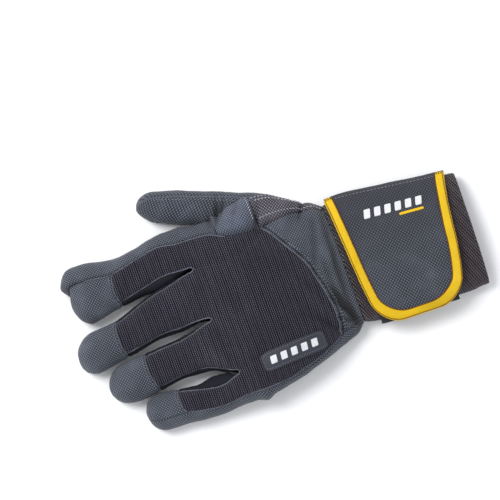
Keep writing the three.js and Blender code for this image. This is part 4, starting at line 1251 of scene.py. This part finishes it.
def flap_surface(out, y, up):
    """The flap from its sewn edge (0) to its free end (1), at a place along the cuff and a height above it.

    It follows the cuff's oval, raised over the hook tape, and past its bend it drops in a soft curve.
    """
    out, y, up = np.broadcast_arrays(*(np.asarray(value, float) for value in (out, y, up)))
    left, right, top = cuff_sizes(np.clip(-y / CUFF_LENGTH, 0, 1))
    lift = up + (HOOK_WALL + SEAM_GAP) * smooth(out, 0.45, 0.66)
    low, high, crest = left - lift, right + lift, top + lift
    bend = over(low, high, (low + high) / 2 - 0.72 * (high - low) / 2)
    x, z = oval(low, high, crest, bend * np.clip(out / FLAP_BEND, 0, 1))
    past = np.clip((out - FLAP_BEND) / (1 - FLAP_BEND), 0, 1)
    return np.stack([lerp(x, left - FLAP_PAST, past), y, z - FLAP_DROP * past**1.5], -1)


def flap_sides(out):
    """Where the flap's two sides lie along the cuff; from the corner on they turn a quarter circle."""
    turned = np.clip((out - FLAP_CORNER) / (1 - FLAP_CORNER), 0, 1)
    straight = FLAP_WIDTH * (1 - FLAP_TAPER * (0.6 * out + 0.4 * out**3))
    width = lerp(straight, 0.3 * FLAP_WIDTH, 1 - np.sqrt(np.maximum(1 - turned**2, 0)))
    middle = -SEAM_GAP - FLAP_GAP - FLAP_WIDTH / 2 + FLAP_SKEW * FLAP_WIDTH * out
    return middle + width / 2, middle - width / 2


def flap_edge(first, count, inset):
    """Matched places on the flap's two sides, moved in from its outline; they lie closer at the corners."""
    out = lerp(first, 1, np.sin(np.pi / 2 * np.linspace(0, 1, count)) ** 0.8)
    near, far = flap_sides(out)
    return out * (1 - inset / FLAP_SPAN), near - inset, far + inset


def darker_at_fold(new, colour):
    """The flap's colour, mixed with a dark tone by its place across the glove."""
    across = new("SeparateXYZ", {0: new("TexCoord").outputs["Object"]}).outputs[0]
    return mixed(new, spread(new, across, -0.03, 0.032, end=0.6), colour, linear(40, 37, 44))


flap_paint = cloth_material(
    "flap_cloth",
    LEATHER,
    {
        "Pitch": 1.7,
        "Deep": linear(32, 35, 43),
        "Shown": linear(95, 100, 111),
        "Rubbed": linear(108, 113, 124),
    },
    0.00045,
    tone=darker_at_fold,
    Specular_IOR_Level=0.35,
)
flap_out, flap_near, flap_far = (side[:, None] for side in flap_edge(0.0, 91, BINDING_FOLD + SEAM_GAP))
flap_across = lerp(flap_near, flap_far, np.linspace(0, 1, 73)[None])
flap_base = flap_surface(flap_out, flap_across, FLAP_TOP).transpose(1, 0, 2)[::-1]
flap_patch = patch(flap_base, "", calm=0.55)
flap = cloth_piece("flap_cloth", [flap_patch], FLAP_WALL, flap_paint)
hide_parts("flap")
cut_size(flap_patch)

# Binding: a bright woven tape folded round the flap's free edge and sewn through near both its edges.
# Two short rows of brown stitches tack each of its ends down, and a straight row holds the flap's fold.

BINDING_WIDTH = 5.7
BINDING_START = 0.12
FOLD_PLACE = 0.15


def build_tape(new, given):
    """Fine cross ribs of a woven tape over its lengthwise cords, and a soft blotchy tone."""
    ribs = lattice(new, given["Cloth"], 0.55, 0.0)
    cords = lattice(new, given["Cloth"], 0.8, np.pi / 2)
    height = reckon(new, "MULTIPLY_ADD", cords, 0.4, ribs)
    shade = mixed(new, spread(new, height, high=1.4), given["Deep"], given["Shown"])
    blotch = spread(new, noise(new, given["Cloth"], 0.16, 3.0), 0.3, 0.7, end=0.3)
    return mixed(new, blotch, shade, given["Deep"]), spread(new, height, 0.0, 1.4, 0.75, 0.5), height


TAPE = cloth_group(
    "woven_tape", {"Deep": linear(222, 172, 4), "Shown": linear(250, 214, 12)}, build_tape
)
binding_paint = cloth_material("binding_tape", TAPE, {}, 0.00015, Specular_IOR_Level=0.4)

ceiling = FLAP_TOP + SEAM_GAP + BINDING_FOLD
fold_radius = (ceiling - SEAM_GAP) / 2
arc = np.linspace(-np.pi / 2, np.pi / 2, 11)
fold_in = fold_radius - fold_radius * np.cos(arc)
fold_up = SEAM_GAP + fold_radius + fold_radius * np.sin(arc)
profile = np.concatenate([
    np.stack([np.linspace(BINDING_WIDTH, fold_radius, 7)[:-1], np.full(6, SEAM_GAP)], -1),
    np.stack([fold_in, fold_up], -1),
    np.stack([np.linspace(fold_radius, BINDING_WIDTH, 12)[1:], np.full(11, ceiling)], -1),
])
turned_in = 0.45 * np.clip(profile[:, 0] - BINDING_WIDTH + 1.0, 0, 1) ** 2


def binding_line(inset, up, count=110):
    """A line along the flap's edge, from its near start round the free end to its far start."""
    out, near, far = flap_edge(BINDING_START, count, inset)
    return np.concatenate([flap_surface(out, near, up), flap_surface(out, far, up)[::-1]])


tape_lines = [
    binding_line(inset, up - (drop if up > fold_radius else -drop))
    for (inset, up), drop in zip(profile, turned_in)
]
binding_patch = patch(np.stack(tape_lines)[::-1], "", calm=0.25)
binding = cloth_piece("binding_tape", [binding_patch], BINDING_FOLD, binding_paint)
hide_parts("flap_binding")
cut_size(binding_patch)

edge_rows = [
    tube(binding_line(BINDING_WIDTH + 0.1, ceiling - 0.35)[::2], 0.34, 6),
    tube(binding_line(0.75, ceiling - 0.2)[::2], 0.26, 6),
]
edge_paint = thread_material("binding_thread", linear(132, 80, 16), 0.7)
binding_edge = thread_object("binding_edge", edge_rows, edge_paint)

tack_rows = []
for start in (0.017, 0.034):
    for side, way in ((0, -1), (1, 1)):
        tack_out = np.full(20, BINDING_START + start)
        tack_y = flap_sides(tack_out)[side] + way * np.linspace(0.8, BINDING_WIDTH, 20)
        tack_line = flap_surface(tack_out, tack_y, ceiling)
        tack_rows.append(stitches(tack_line, long=1.2, gap=0.4, radius=0.3, lift=0.1))
tack_paint = thread_material("tack_thread", linear(62, 40, 20), 0.7)
tacks = thread_object("binding_tacks", tack_rows, tack_paint)

stitch_paint = thread_material("stitch_thread", linear(150, 154, 164), 0.7)
fold_near, fold_far = flap_sides(FOLD_PLACE)
fold_y = np.linspace(fold_near - BINDING_WIDTH - 1.5, fold_far + BINDING_WIDTH + 1.5, 120)
fold_line = flap_surface(FOLD_PLACE, fold_y, FLAP_TOP)
fold_row = stitches(fold_line, long=1.5, gap=1.0, radius=0.26, lift=0.12)
flap_stitches = thread_object("flap_stitches", [fold_row], stitch_paint)

# Print: a slanted row of plain white bars on the flap, and one thin yellow bar beside it. Both are a
# coat of soft plastic, half a millimetre thick, that is pressed onto the cloth.

PRINT_OUT = 0.37
PRINT_MIDDLE = -44.0
PRINT_SLANT = -0.03
BAR_LENGTH = 4.4
BAR_CORNER = 8.0
PRINT_RAISE = 0.5


def slab(width, length, corner, top, rim=0.0, slant=0.0, count=41):
    """A low block with round corners, as a grid of across, along and up.

    Its rings are one outline, a rounded square to the given power, drawn in from the middle of the
    underside over a rounded edge to the middle of the top, which may lie lower than the rim.
    """
    angle = np.linspace(TURN, 0, count)
    sides = [width / 2 * power(np.cos(angle), 2 / corner), length / 2 * power(np.sin(angle), 2 / corner)]
    outline = np.stack(sides, -1)
    outline[-1] = outline[0]
    inset = np.array([0.0, 0.0, 0.15, 0.5, 1.0, 1.3, 1.7])[:, None, None]
    inset = inset * min(0.9, 0.235 * min(width, length))
    edge = outline[None] * (1 - inset / np.array([width, length]))
    under = outline[None] * np.array([0.0, 0.4, 0.8])[:, None, None]
    inner = edge[-1:] * np.linspace(0.85, 0, 8)[:, None, None]
    rings = np.concatenate([under, edge, inner])
    up = np.concatenate([[-0.3] * 4, [0.75, 0.95, 1.0, 1.0], [1.0 - rim] * 10])
    raised = np.broadcast_to(up[:, None] * top, rings.shape[:2])
    return rings[..., 0], rings[..., 1] + slant * rings[..., 0], raised


def closed_slabs(name, grids, paint):
    """Slabs as one closed mesh without a wall, the first and last ring of each drawn to a point."""
    plain = [{"base": g, "shown": g, "cloth": g[..., :2], "crease_shade": np.zeros(g.shape[:2])} for g in grids]
    made = cloth_piece(name, plain, 0.5, paint)
    made.modifiers.clear()
    return made


def bar_row(place, count, pitch, width, top, slant):
    """A centred row of equal bars, each set down by place(across, along, up)."""
    across, along, up = slab(width, BAR_LENGTH, BAR_CORNER, top, slant=slant)
    return [place(across, along + pitch * ((count - 1) / 2 - k), up) for k in range(count)]


def on_flap(across, along, up):
    """A point over the flap, told from the print's middle: across it towards the fold, and along the cuff."""
    out = PRINT_OUT - (across + PRINT_SLANT * along) / FLAP_SPAN
    return flap_surface(out, PRINT_MIDDLE + along, FLAP_TOP + up)


white_paint = thread_material("white_print", linear(226, 227, 230), 0.6, 0.85)
white_bars = bar_row(on_flap, 6, 7.2, 6.0, PRINT_RAISE, -0.3)
flap_bars = closed_slabs("flap_bars", white_bars, white_paint)
yellow_paint = thread_material("yellow_print", linear(236, 190, 20), 0.6, 0.85)
line_across, line_along, line_up = slab(1.5, 17.0, BAR_CORNER, PRINT_RAISE)
yellow_bar = on_flap(line_across - 5.6, line_along - 11.0, line_up)
flap_line = closed_slabs("flap_line", [yellow_bar], yellow_paint)

# Hook tape: a strip of stiff black hook tape, sewn under the flap's free end. Its cut ends are a little
# ragged, and their corners peek out beside the flap.

HOOK_WIDTH = FLAP_WIDTH * (1 - FLAP_TAPER) - 2.5


def build_hooks(new, given):
    """Rows of tiny plastic hooks on two crossed axes, unevenly bright."""
    first, second = (lattice(new, given["Cloth"], 1.1, np.radians(turned)) for turned in (45, -45))
    hooks = reckon(new, "MULTIPLY", first, second)
    height = reckon(new, "MULTIPLY_ADD", noise(new, given["Cloth"], 2.0, 3.0), 0.5, hooks)
    shade = mixed(new, height, given["Deep"], given["Shown"])
    return shade, spread(new, height, start=0.8, end=0.45), height


HOOKS = cloth_group(
    "hook_rows", {"Deep": linear(14, 14, 16), "Shown": linear(48, 48, 52)}, build_hooks
)
hook_paint = cloth_material("hook_tape", HOOKS, {}, 0.0006, Specular_IOR_Level=0.5)
hook_out = np.linspace(0.74, 0.985, 40)
ragged = 0.55 * np.abs(np.mod(hook_out * 42, 2) - 1) * np.abs(ripple(hook_out * 100, 0, 6, 9))
hook_middle = -FLAP_GAP - FLAP_WIDTH / 2 + FLAP_SKEW * FLAP_WIDTH
hook_y = hook_middle + np.linspace(0.5, -0.5, 121)[:, None] * (HOOK_WIDTH + 2 * ragged[None])
hook_base = flap_surface(hook_out[None], hook_y, -0.15)[::-1]
hook_patch = patch(hook_base, "", calm=0.2)
hook = cloth_piece("hook_strip", [hook_patch], 0.9, hook_paint)
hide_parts("hook_tape")
cut_size(hook_patch)

# Label: a rounded patch of dark rubber on the back, with a low rim and a row of plain pale bars. A fine
# row of stitches inside its rim sews it down.

LABEL_LENGTH = 46.0
LABEL_WIDTH = 13.0
LABEL_RIM = 0.25
LABEL_PLACE = np.array([-0.3 * PALM_WIDTH, 0.54 * PALM_LENGTH])
LABEL_TURN = np.radians(3.0)


def on_back(across, along, up):
    """A point over the back of the hand, told from the label's middle: the hand's oval and its swells."""
    x = LABEL_PLACE[0] + across * np.cos(LABEL_TURN) - along * np.sin(LABEL_TURN)
    y = LABEL_PLACE[1] + across * np.sin(LABEL_TURN) + along * np.cos(LABEL_TURN)
    left, right = (PALM_WIDTH * read(HAND_ROWS, side, y / PALM_LENGTH) for side in ("left", "right"))
    top = HAND_HEIGHT * read(HAND_ROWS, "top", y / PALM_LENGTH)
    z = oval(left, right, top, over(left, right, x))[1]
    swells = relief(np.stack([x, y, z], -1), np.full(x.shape, FAR_FROM_SEAM))
    return np.stack([x, y, z + swells + up], -1)


label_paint = cloth_material(
    "label_rubber",
    LEATHER,
    {"Pitch": 0.7, "Deep": linear(40, 41, 52), "Shown": linear(56, 58, 70), "Rubbed": linear(66, 68, 80)},
    0.00006,
    Specular_IOR_Level=0.5,
)
rubber = slab(LABEL_WIDTH, LABEL_LENGTH, 7.0, 1.0, rim=LABEL_RIM, count=97)
label = closed_slabs("label_rubber", [on_back(*rubber)], label_paint)
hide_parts("label_patch")

rim_across, rim_along, rim_up = (side[7, ::-1] for side in rubber)
rim_path = on_back(0.84 * rim_across, 0.955 * rim_along, rim_up + 0.02)
rim_row = stitches(rim_path, long=1.1, gap=0.7, radius=0.2, lift=0.05)
label_stitches = thread_object("label_stitches", [rim_row], low_stitch_paint)

pale_bars = bar_row(on_back, 5, 7.4, 5.2, 1.15, -0.15)
label_bars = closed_slabs("label_bars", pale_bars, white_paint)
